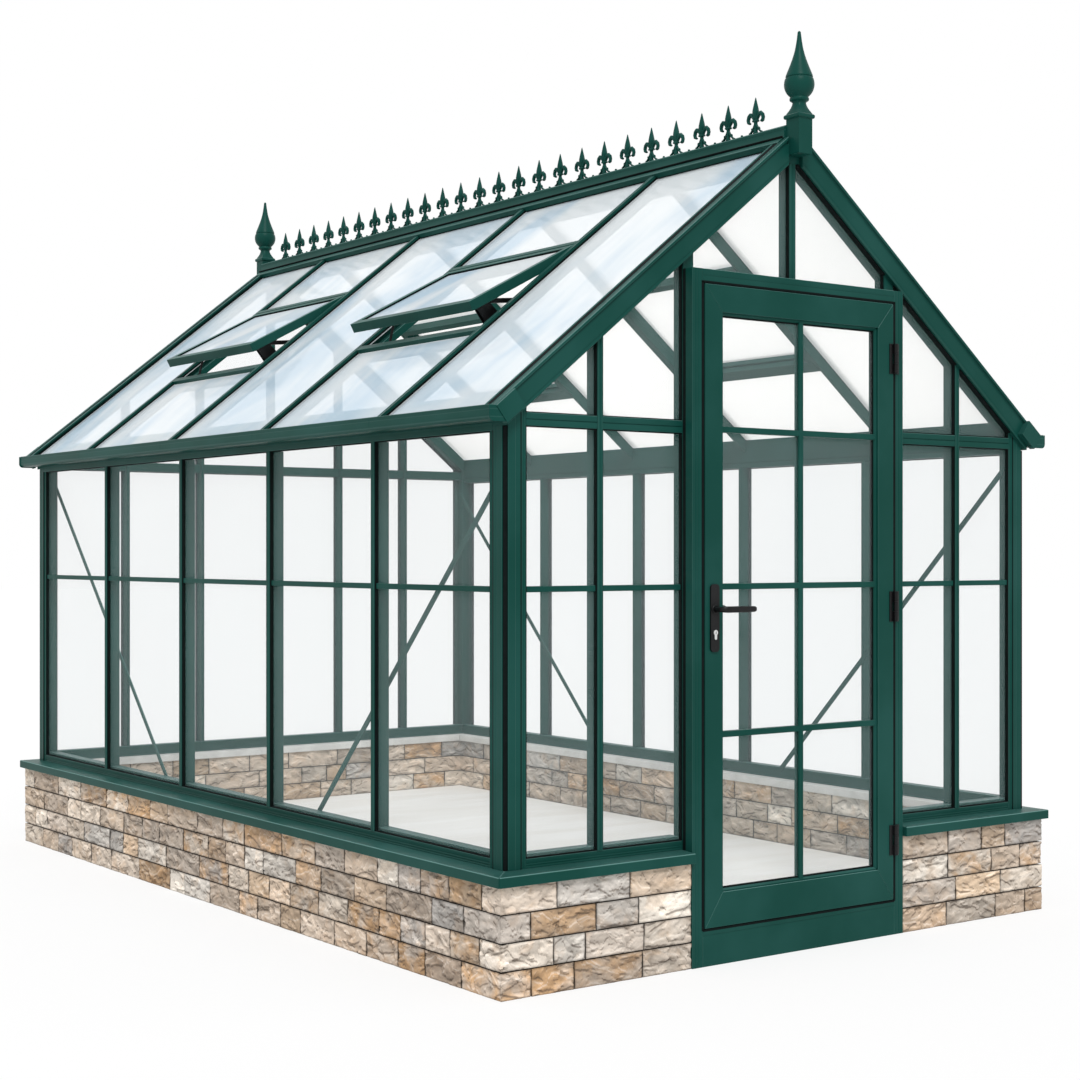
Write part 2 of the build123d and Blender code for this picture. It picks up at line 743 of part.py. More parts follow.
stile_runs = (hinge_inner + fit_gap, foot_inner - fit_gap)
with BuildPart() as vent_curb_stiles:
    stile = slope_block(stile_runs, (ledge_depth, vent_depth))
    for low, high in vent_spans:
        along_y(stile, (low + fin_edge, low + fin_edge + vent_stile))
        along_y(stile, (high - fin_edge - vent_stile, high - fin_edge))
    mirror(about=Plane.YZ)
vent_curb_stiles.part.label = "vent_curb_stiles"
export_step(vent_curb_stiles.part, "parts/vent_curb_stiles.step")

hinge_x, hinge_z = slope_point(vent_hinge, 0)


def leaf_plane(open_angle, low, high):
    """The outer face of a vent leaf, with its own x down the slope and its z outwards."""
    fall = math.radians(roof_pitch - open_angle)
    return Plane(
        origin=(hinge_x, (low + high) / 2, hinge_z),
        x_dir=(-math.cos(fall), 0, -math.sin(fall)),
        z_dir=(-math.sin(fall), 0, math.cos(fall)),
    )


def leaf_sheet(plane, level, inset, depth, mode=Mode.ADD):
    """A rectangle of the leaf, inset as (hinge side, foot, each side), extruded outwards."""
    top, foot, sides = inset
    width = vent_bay - 2 * leaf_inset - 2 * sides
    with BuildSketch(plane.offset(level)) as sheet:
        with Locations(((vent_length + top - foot) / 2, 0)):
            Rectangle(vent_length - top - foot, width)
    extrude(sheet.sketch, amount=depth, mode=mode)


def leaf_frame(open_angle, low, high):
    """The four members of a vent leaf in one ring."""
    plane = leaf_plane(open_angle, low, high)
    leaf_sheet(plane, -leaf_depth, (0, 0, 0), leaf_depth)
    opening = (leaf_side, leaf_foot, leaf_side)
    leaf_sheet(plane, -leaf_depth - 1, opening, leaf_depth + 2, Mode.SUBTRACT)


def leaf_pane(open_angle, low, high):
    """The glass of a vent leaf."""
    plane = leaf_plane(open_angle, low, high)
    inset = (leaf_side + glass_gap, leaf_foot + glass_gap, leaf_side + glass_gap)
    leaf_sheet(plane, -leaf_glass_drop - glass_thickness, inset, glass_thickness)


leaves, panes = [], []
for low, high in vent_spans:
    for open_angle, is_right in ((vent_angle, False), (0.0, True)):
        with BuildPart() as leaf:
            leaf_frame(open_angle, low, high)
        with BuildPart() as pane:
            leaf_pane(open_angle, low, high)
        pieces = [leaf.part, pane.part]
        if is_right:
            pieces = [piece.mirror(Plane.YZ) for piece in pieces]
        leaves.append(pieces[0])
        panes.append(pieces[1])
with BuildPart() as vent_frames:
    add(leaves)
vent_frames.part.label = "vent_frames"
export_step(vent_frames.part, "parts/vent_frames.step")
with BuildPart() as vent_glass:
    add(panes)
vent_glass.part.label = "vent_glass"
export_step(vent_glass.part, "parts/vent_glass.step")

leaf_fall = math.radians(roof_pitch - vent_angle)


def under_leaf(run):
    """The (x, z) point just under an open left leaf, at a distance from its hinge."""
    level = -leaf_depth - fit_gap
    x = hinge_x - run * math.cos(leaf_fall) - level * math.sin(leaf_fall)
    z = hinge_z - run * math.sin(leaf_fall) + level * math.cos(leaf_fall)
    return (x, z)


with BuildPart() as vent_openers:
    seat = foot_inner - fit_gap
    for low, high in vent_spans:
        opener = [
            slope_point(seat, ledge_depth),
            slope_point(seat, vent_depth - 4),
            slope_point(vent_hinge + 110, vent_depth - 4),
            slope_point(vent_hinge + 110, 24),
            slope_point(seat - 130, 24),
            under_leaf(0.78 * vent_length),
            under_leaf(0.92 * vent_length),
        ]
        near = low + fin_edge + vent_stile + fit_gap
        along_y(opener, (near, near + opener_width))
        stay = [
            slope_point(seat, ledge_depth + 2),
            slope_point(seat, ledge_depth + 10),
            under_leaf(0.74 * vent_length),
            under_leaf(0.77 * vent_length),
        ]
        far = high - fin_edge - vent_stile - 90
        along_y(stay, (far, far + stay_width))
vent_openers.part.label = "vent_openers"
export_step(vent_openers.part, "parts/vent_openers.step")

# ---------------------------------------------------------------- glass
pane_front = frame_x - glass_setback
pane_z = (bed_z[1] + glass_gap, head_z + eaves_glass_lap - glass_gap)
bar_inset = web_width / 2 + glass_gap
post_edge = post_side + glass_gap
with BuildPart() as side_wall_glass:
    for bay in range(side_bays):
        low = -frame_y + post_edge if bay == 0 else side_lines[bay] + bar_inset
        high = frame_y - post_edge if bay == side_bays - 1 else side_lines[bay + 1] - bar_inset
        block((-pane_front, -pane_front + glass_thickness), (low, high), pane_z)
    mirror(about=Plane.YZ)
side_wall_glass.part.label = "side_wall_glass"
export_step(side_wall_glass.part, "parts/side_wall_glass.step")

lower_z = (bed_z[1] + glass_gap, transom_z + transom_lap - glass_gap)
upper_foot = transom_z + transom_height - transom_lap + glass_gap


def under_rafter(x):
    """Highest point of a gable pane at x, below the rafters and the ridge beam."""
    return min(roof_z(x, rafter_width + glass_gap), ridge_beam_foot - glass_gap)


def gable_pane(low, high, foot):
    """A pane of the door gable that reaches up to the rafters, from x low to x high."""
    peak = (apex_z - (rafter_width + glass_gap) / cos_pitch - ridge_beam_foot + glass_gap) / tan_pitch
    turns = [x for x in (-peak, peak) if low < x < high]
    tops = [(x, under_rafter(x)) for x in [high, *reversed(turns), low]]
    if under_rafter(low) <= foot:
        meet = -(apex_z - (rafter_width + glass_gap) / cos_pitch - foot) / tan_pitch
        points = [(meet, foot), (high, foot), tops[0]]
    elif under_rafter(high) <= foot:
        meet = (apex_z - (rafter_width + glass_gap) / cos_pitch - foot) / tan_pitch
        points = [(low, foot), (meet, foot), tops[-1]]
    else:
        points = [(low, foot), (high, foot), *tops]
    front = -frame_y + glass_setback
    along_y(points, (front, front + glass_thickness))


front_line = (-frame_y + glass_setback, -frame_y + glass_setback + glass_thickness)
with BuildPart() as front_glass:
    outer = (-frame_x + post_edge, front_bar_x - bar_inset)
    inner = (front_bar_x + bar_inset, -jamb_outer - glass_gap)
    for low, high in (outer, inner):
        block((low, high), front_line, lower_z)
        gable_pane(low, high, upper_foot)
    gable_pane(-jamb_inner, -bar_inset, head_top + glass_gap)
    mirror(about=Plane.YZ)
front_glass.part.label = "front_glass"
export_step(front_glass.part, "parts/front_glass.step")

with BuildPart() as back_panes:
    edges = [-frame_x, *back_bar_x, frame_x]
    for bay in range(back_bays):
        low = edges[bay] + (post_edge if bay == 0 else bar_inset)
        high = edges[bay + 1] - (post_edge if bay == back_bays - 1 else bar_inset)
        block((low, high), front_line, lower_z)
        gable_pane(low, high, upper_foot)
with BuildPart() as back_glass:
    mirror(back_panes.part, about=Plane.XZ)
back_glass.part.label = "back_glass"
export_step(back_glass.part, "parts/back_glass.step")

rafter_inner = frame_y + rafter_proud - rafter_cap
vent_top_run = hinge_outer - glass_gap
vent_foot_run = foot_outer + glass_gap
pane_depths = (glass_setback, glass_setback + glass_thickness)
with BuildPart() as roof_glass:
    for bay in range(side_bays):
        low = -rafter_inner + glass_gap if bay == 0 else roof_lines[bay] + bar_inset
        high = rafter_inner - glass_gap if bay == side_bays - 1 else roof_lines[bay + 1] - bar_inset
        sheet = slope_strip(glass_low, glass_high, *pane_depths)
        if bay not in vent_bays:
            along_y(sheet, (low, high))
            continue
        upper = [sheet[1], slope_point(vent_top_run, pane_depths[0])]
        upper += [slope_point(vent_top_run, pane_depths[1]), sheet[2]]
        along_y(upper, (low, high))
        lower = [sheet[0], slope_point(vent_foot_run, pane_depths[0])]
        lower += [slope_point(vent_foot_run, pane_depths[1]), sheet[3]]
        along_y(lower, (low, high))
    mirror(about=Plane.YZ)
roof_glass.part.label = "roof_glass"
export_step(roof_glass.part, "parts/roof_glass.step")

# ---------------------------------------------------------------- wind braces
brace_x = -frame_x + post_side
brace_high = eaves_height - brace_top_drop
brace_low = cill_top + rail_height - brace_foot
brace_out = frame_y - post_side / 2
brace_in = brace_out - brace_bays * side_pitch
lean = math.atan2(brace_high - brace_low, brace_out - brace_in)
half_y = brace_width / 2 * math.sin(lean)
half_z = brace_width / 2 * math.cos(lean)
with BuildPart() as wind_braces:
    strap = [
        (brace_out - half_y, brace_high + half_z),
        (brace_out + half_y, brace_high - half_z),
        (brace_in + half_y, brace_low - half_z),
        (brace_in - half_y, brace_low + half_z),
    ]
    along_x(strap, (brace_x, brace_x + brace_thickness))
    mirror(about=Plane.XZ)
    mirror(about=Plane.YZ)
wind_braces.part.label = "wind_braces"
export_step(wind_braces.part, "parts/wind_braces.step")

# ---------------------------------------------------------------- door frame
with BuildPart() as door_jambs:
    block((-jamb_outer, -jamb_inner), (-half_length, jamb_back), (0, head_top))
    block((-jamb_outer, -jamb_inner), (-frame_y, jamb_back), (0, ridge_beam_foot))
    cut_under_rafters()
    mirror(about=Plane.YZ)
door_jambs.part.label = "door_jambs"
export_step(door_jambs.part, "parts/door_jambs.step")

with BuildPart() as door_head:
    block((-jamb_inner, jamb_inner), (-half_length, jamb_back), (head_foot, head_top))
door_head.part.label = "door_head"
export_step(door_head.part, "parts/door_head.step")

with BuildPart() as door_threshold:
    block((-jamb_inner, jamb_inner), (-half_length, jamb_back), (0, threshold_top))
door_threshold.part.label = "door_threshold"
export_step(door_threshold.part, "parts/door_threshold.step")

stop_y = (door_back + stop_clearance, jamb_back)
with BuildPart() as door_stops:
    for side in (-1, 1):
        x_range = sorted((side * jamb_inner, side * (jamb_inner - stop_width)))
        block(x_range, stop_y, (threshold_top, head_foot))
    reach = jamb_inner - stop_width - mitre_gap
    block((-reach, reach), stop_y, (head_foot - stop_width, head_foot))
door_stops.part.label = "door_stops"
export_step(door_stops.part, "parts/door_stops.step")

# ---------------------------------------------------------------- door leaf
stile_line = door_half - door_stile
bottom_line = door_foot + door_bottom_rail
top_line = door_top - door_top_rail
handle_x = -door_half + door_stile / 2
with BuildPart() as door_stiles:
    stile = [
        (-door_half, door_foot + door_mitre),
        (-stile_line, bottom_line + door_mitre),
        (-stile_line, top_line - door_mitre),
        (-door_half, door_top - door_mitre),
    ]
    along_y(stile, (door_face, door_back))
    mirror(about=Plane.YZ)
    with BuildSketch(Plane.XZ.offset(-door_back)):
        with Locations((handle_x, spindle_level)):
            Circle(spindle_radius + spindle_play)
    extrude(amount=door_thickness, mode=Mode.SUBTRACT)
door_stiles.part.label = "door_stiles"
export_step(door_stiles.part, "parts/door_stiles.step")

with BuildPart() as door_rails:
    corner = door_half - door_mitre
    inner_corner = stile_line - door_mitre
    foot_rail = [
        (-corner, door_foot),
        (corner, door_foot),
        (inner_corner, bottom_line),
        (-inner_corner, bottom_line),
    ]
    top_rail = [
        (-inner_corner, top_line),
        (inner_corner, top_line),
        (corner, door_top),
        (-corner, door_top),
    ]
    along_y(foot_rail, (door_face, door_back))
    along_y(top_rail, (door_face, door_back))
door_rails.part.label = "door_rails"
export_step(door_rails.part, "parts/door_rails.step")

with BuildPart() as door_glass:
    reach = stile_line - glass_gap
    pane_y = door_face + door_glass_setback
    pane_heights = (bottom_line + glass_gap, top_line - glass_gap)
    block((-reach, reach), (pane_y, pane_y + door_glass_thickness), pane_heights)
door_glass.part.label = "door_glass"
export_step(door_glass.part, "parts/door_glass.step")

# ---------------------------------------------------------------- hinges
pin_x = door_half + door_side_gap / 2
pin_y = door_face - hinge_radius
middle_third = hinge_height / 3


def knuckle(z_low, z_high, radius, mode=Mode.ADD):
    """A cylinder on the hinge line between two heights."""
    with BuildSketch(Plane.XY.offset(z_low)) as ring:
        with Locations((pin_x, pin_y)):
            Circle(radius)
    extrude(ring.sketch, amount=z_high - z_low, mode=mode)


with BuildPart() as frame_hinges:
    for level in hinge_levels:
        foot = level - hinge_height / 2
        low = foot + middle_third
        high = low + middle_third
        plate_x = (jamb_inner, jamb_inner + hinge_plate_width)
        block(plate_x, (-half_length - hinge_plate, -half_length), (foot, foot + hinge_height))
        block((pin_x, pin_x + hinge_radius), (pin_y, -half_length), (low, high))
        knuckle(low, high, hinge_radius)
        knuckle(foot, foot + hinge_height, hinge_pin_radius)
frame_hinges.part.label = "frame_hinges"
export_step(frame_hinges.part, "parts/frame_hinges.step")

with BuildPart() as leaf_hinges:
    for level in hinge_levels:
        foot = level - hinge_height / 2
        low = foot + middle_third - hinge_knuckle_gap
        high = foot + 2 * middle_third + hinge_knuckle_gap
        plate_x = (door_half - hinge_plate_width, pin_x - hinge_radius - 1)
        plate_y = (door_face - hinge_plate, door_face)
        block(plate_x, plate_y, (foot, foot + hinge_height))
        for z_range in ((foot, low), (high, foot + hinge_height)):
            knuckle(*z_range, hinge_radius)
            block((pin_x - hinge_radius, pin_x), (pin_y, door_face), z_range)
            knuckle(*z_range, hinge_pin_radius + hinge_pin_play, Mode.SUBTRACT)
leaf_hinges.part.label = "leaf_hinges"
export_step(leaf_hinges.part, "parts/leaf_hinges.step")

# ---------------------------------------------------------------- door furniture
plate_faces = ((door_face - plate_thickness, door_face), (door_back, door_back + plate_thickness))
with BuildPart() as handle_plates:
    for front, rear in plate_faces:
        with BuildSketch(Plane.XZ.offset(-rear)) as plate:
            with Locations((handle_x, plate_level)):
                RectangleRounded(plate_width, plate_height, plate_width / 3)
            with Locations((handle_x, spindle_level)):
                Circle(spindle_radius + spindle_play, mode=Mode.SUBTRACT)
        extrude(plate.sketch, amount=rear - front)
handle_plates.part.label = "handle_plates"
export_step(handle_plates.part, "parts/handle_plates.step")

grip_outside = door_face - plate_thickness - lever_reach
grip_inside = door_back + plate_thickness + lever_reach
lever_x = (handle_x, handle_x + lever_length)
lever_z = (spindle_level - lever_height / 2, spindle_level + lever_height / 2)
with BuildPart() as lever_handle:
    with BuildSketch(Plane.XZ.offset(-grip_inside)):
        with Locations((handle_x, spindle_level)):
            Circle(spindle_radius)
    extrude(amount=grip_inside - grip_outside)
    block(lever_x, (grip_outside, grip_outside + lever_thickness), lever_z)
    block(lever_x, (grip_inside - lever_thickness, grip_inside), lever_z)
    fillet(lever_handle.edges().filter_by(Axis.X), radius=lever_thickness / 3)
lever_handle.part.label = "lever_handle"
export_step(lever_handle.part, "parts/lever_handle.step")

with BuildPart() as lock_cylinder:
    for low in (door_face - plate_thickness - 3, door_back + plate_thickness):
        with BuildSketch(Plane.XZ.offset(-low - 3)) as euro:
            with Locations((handle_x, cylinder_level + 6)):
                Circle(8.5)
            with Locations((handle_x, cylinder_level - 5)):
                SlotOverall(22, 10, rotation=90)
        extrude(euro.sketch, amount=3)
lock_cylinder.part.label = "lock_cylinder"
export_step(lock_cylinder.part, "parts/lock_cylinder.step")
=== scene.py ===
"""Looks of a glass greenhouse on a split-stone dwarf wall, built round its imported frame.

Metres, +Z up, the door in the -Y gable and the ridge along Y. Every piece takes its place
from the frame's boxes, so that it lies where the frame's own parts lie.
"""

import logging
import math
import random
from collections.abc import Iterable, Sequence
from dataclasses import dataclass, replace
from enum import Enum
from functools import cache
from itertools import accumulate

import bmesh
import bpy
from mathutils import Matrix, Vector, noise


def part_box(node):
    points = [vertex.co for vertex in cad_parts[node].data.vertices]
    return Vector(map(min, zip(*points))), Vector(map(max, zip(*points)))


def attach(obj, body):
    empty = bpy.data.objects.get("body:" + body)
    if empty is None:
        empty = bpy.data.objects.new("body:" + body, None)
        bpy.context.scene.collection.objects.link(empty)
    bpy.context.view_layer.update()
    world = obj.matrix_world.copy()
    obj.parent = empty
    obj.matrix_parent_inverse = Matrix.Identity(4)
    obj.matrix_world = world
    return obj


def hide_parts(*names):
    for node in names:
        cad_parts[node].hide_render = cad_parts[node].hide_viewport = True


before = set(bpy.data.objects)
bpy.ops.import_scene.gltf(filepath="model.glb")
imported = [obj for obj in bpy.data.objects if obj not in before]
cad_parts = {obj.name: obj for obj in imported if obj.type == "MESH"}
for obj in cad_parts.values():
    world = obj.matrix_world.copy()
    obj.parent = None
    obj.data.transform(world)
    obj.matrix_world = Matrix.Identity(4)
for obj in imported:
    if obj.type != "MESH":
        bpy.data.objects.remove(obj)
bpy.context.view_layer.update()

LOG = logging.getLogger("greenhouse")
MM = 0.001
EDGE_LENGTH = 60 * MM
EDGE_WIDTH = 1.7 * MM
X, Y, Z = Vector((1, 0, 0)), Vector((0, 1, 0)), Vector((0, 0, 1))

Shape = bmesh.types.BMesh
Corner = bmesh.types.BMVert
Triple = tuple[float, float, float]
Colour = Triple
Span = tuple[float, float]
Outline = Sequence[Span]


class Body(Enum):
    """What a piece moves with."""

    BUILDING = "building"
    DOOR = "door"
    LEVER = "lever"


class Slot(Enum):
    """The record's material slots; each new piece is handed one, which it keeps but does not use."""

    STONE = "split_stone"
    CONCRETE = "concrete"
    PAVING = "paving"
    GREEN = "green_frame"
    IRON = "black_iron"
    STEEL = "lock_steel"


# ---- shader building
class Wire:
    """A shader socket whose arithmetic adds Math nodes."""

    def __init__(self, sheet: "Sheet", socket: bpy.types.NodeSocket | None) -> None:
        """Keeps the tree that the socket belongs to."""
        self.sheet = sheet
        self.socket = socket

    def _math(self, operation: str, first: "Wire | float", second: "Wire | float") -> "Wire":
        """One Math node on two values."""
        return self.sheet.add("ShaderNodeMath", {"operation": operation}, {0: first, 1: second})

    def __add__(self, other: "Wire | float") -> "Wire":
        """Sum."""
        return self._math("ADD", self, other)

    __radd__ = __add__

    def __mul__(self, other: "Wire | float") -> "Wire":
        """Product."""
        return self._math("MULTIPLY", self, other)

    __rmul__ = __mul__

    def __sub__(self, other: "Wire | float") -> "Wire":
        """Difference."""
        return self._math("SUBTRACT", self, other)

    def away(self, middle: float) -> "Wire":
        """How far it is from a value."""
        return self._math("ABSOLUTE", self - middle, 0.0)

    def ramp(self, low: float, high: float) -> "Wire":
        """0 below low, 1 above high and a smooth rise between."""
        inputs = {"Value": self, "From Min": low, "From Max": high}
        return self.sheet.add("ShaderNodeMapRange", {"interpolation_type": "SMOOTHSTEP"}, inputs)


class Sheet:
    """The node tree of one material, or of the world."""

    def __init__(self, owner: bpy.types.Material | bpy.types.World) -> None:
        """Empties the tree of its owner.

        Args:
            owner: The material or the world that the tree belongs to.
        """
        owner.use_nodes = True
        self.owner = owner
        self.tree = owner.node_tree
        self.tree.nodes.clear()

    def add(
        self,
        kind: str,
        settings: dict | None = None,
        inputs: dict | None = None,
        output: int | str = 0,
    ) -> Wire:
        """Adds a node.

        Args:
            kind: The node's type name.
            settings: Properties of the node, set before its sockets; "stops" fills a ramp.
            inputs: Values or wires by socket name or number.
            output: The socket to return.

        Returns:
            The chosen output.
        """
        node = self.tree.nodes.new(kind)
        for key, value in (settings or {}).items():
            if key == "stops":
                self._fill(node.color_ramp, value)
            else:
                setattr(node, key, value)
        for key, value in (inputs or {}).items():
            socket = node.inputs[key]
            if isinstance(value, Wire):
                self.tree.links.new(value.socket, socket)
            elif socket.type == "RGBA":
                socket.default_value = (*value[:3], 1.0)
            else:
                socket.default_value = value
        return Wire(self, node.outputs[output] if node.outputs else None)

    @staticmethod
    def _fill(ramp: bpy.types.ColorRamp, stops: Sequence[tuple[float, Colour]]) -> None:
        """Gives a colour ramp its stops.

        Args:
            ramp: The ramp, which starts with two stops.
            stops: The place and colour of each stop, in order.
        """
        while len(ramp.elements) < len(stops):
            ramp.elements.new(1.0)
        for element, (place, colour) in zip(ramp.elements, stops):
            element.position = place
            element.color = (*colour, 1.0)

    def place(self, stretch: Triple = (1.0, 1.0, 1.0)) -> Wire:
        """The piece's own coordinates, stretched."""
        return self.stretched(self.add("ShaderNodeTexCoord", output="Object"), stretch)

    def stretched(self, spot: Wire, stretch: Triple) -> Wire:
        """A place, stretched."""
        return self.add("ShaderNodeMapping", {}, {"Vector": spot, "Scale": stretch})

    def noise(self, spot: Wire, scale: float, detail: float = 3.0, twist: float = 0.0) -> Wire:
        """Fractal noise from 0 to 1."""
        inputs = {"Vector": spot, "Scale": scale, "Detail": detail, "Distortion": twist}
        return self.add("ShaderNodeTexNoise", {}, inputs)

    def upward(self) -> Wire:
        """How far the surface looks up, from -1 to 1."""
        facing = self.add("ShaderNodeNewGeometry", output="Normal")
        return self.add("ShaderNodeSeparateXYZ", {}, {0: facing}, 2)

    def seen(self) -> Wire:
        """Finds the rays that show a surface.

        Returns:
            1 for rays from the camera, a gloss or a pane, and 0 for light.
        """
        names = ("Is Camera Ray", "Is Glossy Ray", "Is Transmission Ray")
        rays = [self.add("ShaderNodeLightPath", output=name) for name in names]
        either = self.add("ShaderNodeMath", {"operation": "MAXIMUM"}, {0: rays[0], 1: rays[1]})
        return self.add("ShaderNodeMath", {"operation": "MAXIMUM"}, {0: either, 1: rays[2]})

    def mix(self, share: Wire | float, first: Wire | Colour, second: Wire | Colour) -> Wire:
        """A colour between two."""
        inputs = {0: share, 6: first, 7: second}
        return self.add("ShaderNodeMix", {"data_type": "RGBA"}, inputs, 2)

    def bump(self, height: Wire, strength: float, distance: float) -> Wire:
        """A bumped normal."""
        inputs = {"Height": height, "Strength": strength, "Distance": distance}
        return self.add("ShaderNodeBump", {}, inputs)

    def surface(self, **sockets: "Wire | float | Colour") -> bpy.types.Material:
        """Closes the tree with one Principled shader.

        Args:
            sockets: Its inputs, with underscores for the spaces in their names.

        Returns:
            The material.
        """
        inputs = {key.replace("_", " "): value for key, value in sockets.items()}
        shader = self.add("ShaderNodeBsdfPrincipled", {}, inputs)
        self.add("ShaderNodeOutputMaterial", {}, {"Surface": shader})
        return self.owner


# ---- finishes
@dataclass(frozen=True)
class Paint:
    """Satin paint on metal: faint orange peel, dust and painted sheen on what faces up, and painted
    highlights on the edges.
    """

    name: str
    colour: Colour
    pale: Colour
    # colour of the painted highlight along the edges
    lighter_colour: Colour = (0.26, 0.48, 0.45)
    roughness: float = 0.36
    gloss: float = 0.08
    # how much paler faces that look up become: dust, and a painted sheen of light
    dust_and_sheen: float = 0.10
    dust_and_sheen_colour: Colour = (0.20, 0.42, 0.40)

    @cache
    def material(self) -> bpy.types.Material:
        """Builds the paint once.

        Returns:
            The material.
        """
        sheet = Sheet(bpy.data.materials.new(self.name))
        spot = sheet.place()
        cloud = sheet.noise(spot, 3.0, 4.0)
        grain = sheet.noise(spot, 420.0, 2.0)
        height = sheet.upward()
        edge = sheet.add("ShaderNodeAttribute", {"attribute_name": "edge"}, output="Fac")
        colour = sheet.mix(cloud.ramp(0.3, 0.72) * 0.8, self.colour, self.pale)
        # dust and painted sheen: faces that look up turn paler, as dust and as the light they catch
        settled_dust_and_sheen = height.ramp(0.3, 1.0) * cloud * (2 * self.dust_and_sheen)
        with_dust_and_sheen = sheet.mix(settled_dust_and_sheen, colour, self.dust_and_sheen_colour)
        # painted highlight: the slender edge faces turn paler, far more where they look up
        edge_highlight = edge * (height.ramp(0.05, 0.8) * 0.36 + 0.06) * (grain * 0.3 + 0.85)
        return sheet.surface(
            Base_Color=sheet.mix(edge_highlight, with_dust_and_sheen, self.lighter_colour),
            Roughness=cloud * 0.14 + (self.roughness - 0.07) + grain * 0.05,
            Specular_IOR_Level=self.gloss,
            Normal=sheet.bump(grain, 0.06, 0.0004),
        )


@dataclass(frozen=True)
class Rubber:
    """Black rubber, for the glazing gaskets and for black strips that paint shade."""

    name: str = "gasket_and_shade_rubber"
    colour: Colour = (0.002, 0.004, 0.0038)
    lighter_colour: Colour = (0.007, 0.011, 0.011)

    @cache
    def material(self) -> bpy.types.Material:
        """Builds the gasket once.

        Returns:
            The material.
        """
        sheet = Sheet(bpy.data.materials.new(self.name))
        cloud = sheet.noise(sheet.place(), 60.0)
        colour = sheet.mix(cloud, self.colour, self.lighter_colour)
        return sheet.surface(Base_Color=colour, Roughness=0.7, Specular_IOR_Level=0.05)


@dataclass(frozen=True)
class Glass:
    """Glass with a thin pale film; faces that look down get a paler colour and a painted glow, for
    light coming through.
    """

    name: str
    colour: Colour
    shade: Colour
    film: float
    # strength of the painted glow on faces that look down
    glow: float = 0.0
    gloss: float = 0.5
    roughness: float = 0.06
    # colour and glow of faces that look down, painted as light coming through
    inside: Colour = (0.93, 0.92, 0.91)

    @cache
    def material(self) -> bpy.types.Material:
        """Builds the glass once.

        Returns:
            The material.
        """
        sheet = Sheet(bpy.data.materials.new(self.name))
        # streaks in the film: partly haze, partly a painted reflection in their lighter and darker
        # bands
        haze_and_reflection = sheet.noise(sheet.place((1.0, 1.6, 0.7)), 1.3, 3.0, 0.8)
        outside = sheet.mix(haze_and_reflection.ramp(0.35, 0.68), self.colour, self.shade)
        # painted light: faces that look down take the paler colour and the glow, for light coming
        # through
        below = (-1 * sheet.upward()).ramp(0.2, 0.5)
        return sheet.surface(
            Base_Color=sheet.mix(below, outside, self.inside),
            Roughness=self.roughness,
            Specular_IOR_Level=self.gloss,
            Alpha=self.film,
            Emission_Color=sheet.mix(below, (0.0, 0.0, 0.0), self.inside),
            Emission_Strength=self.glow,
        )


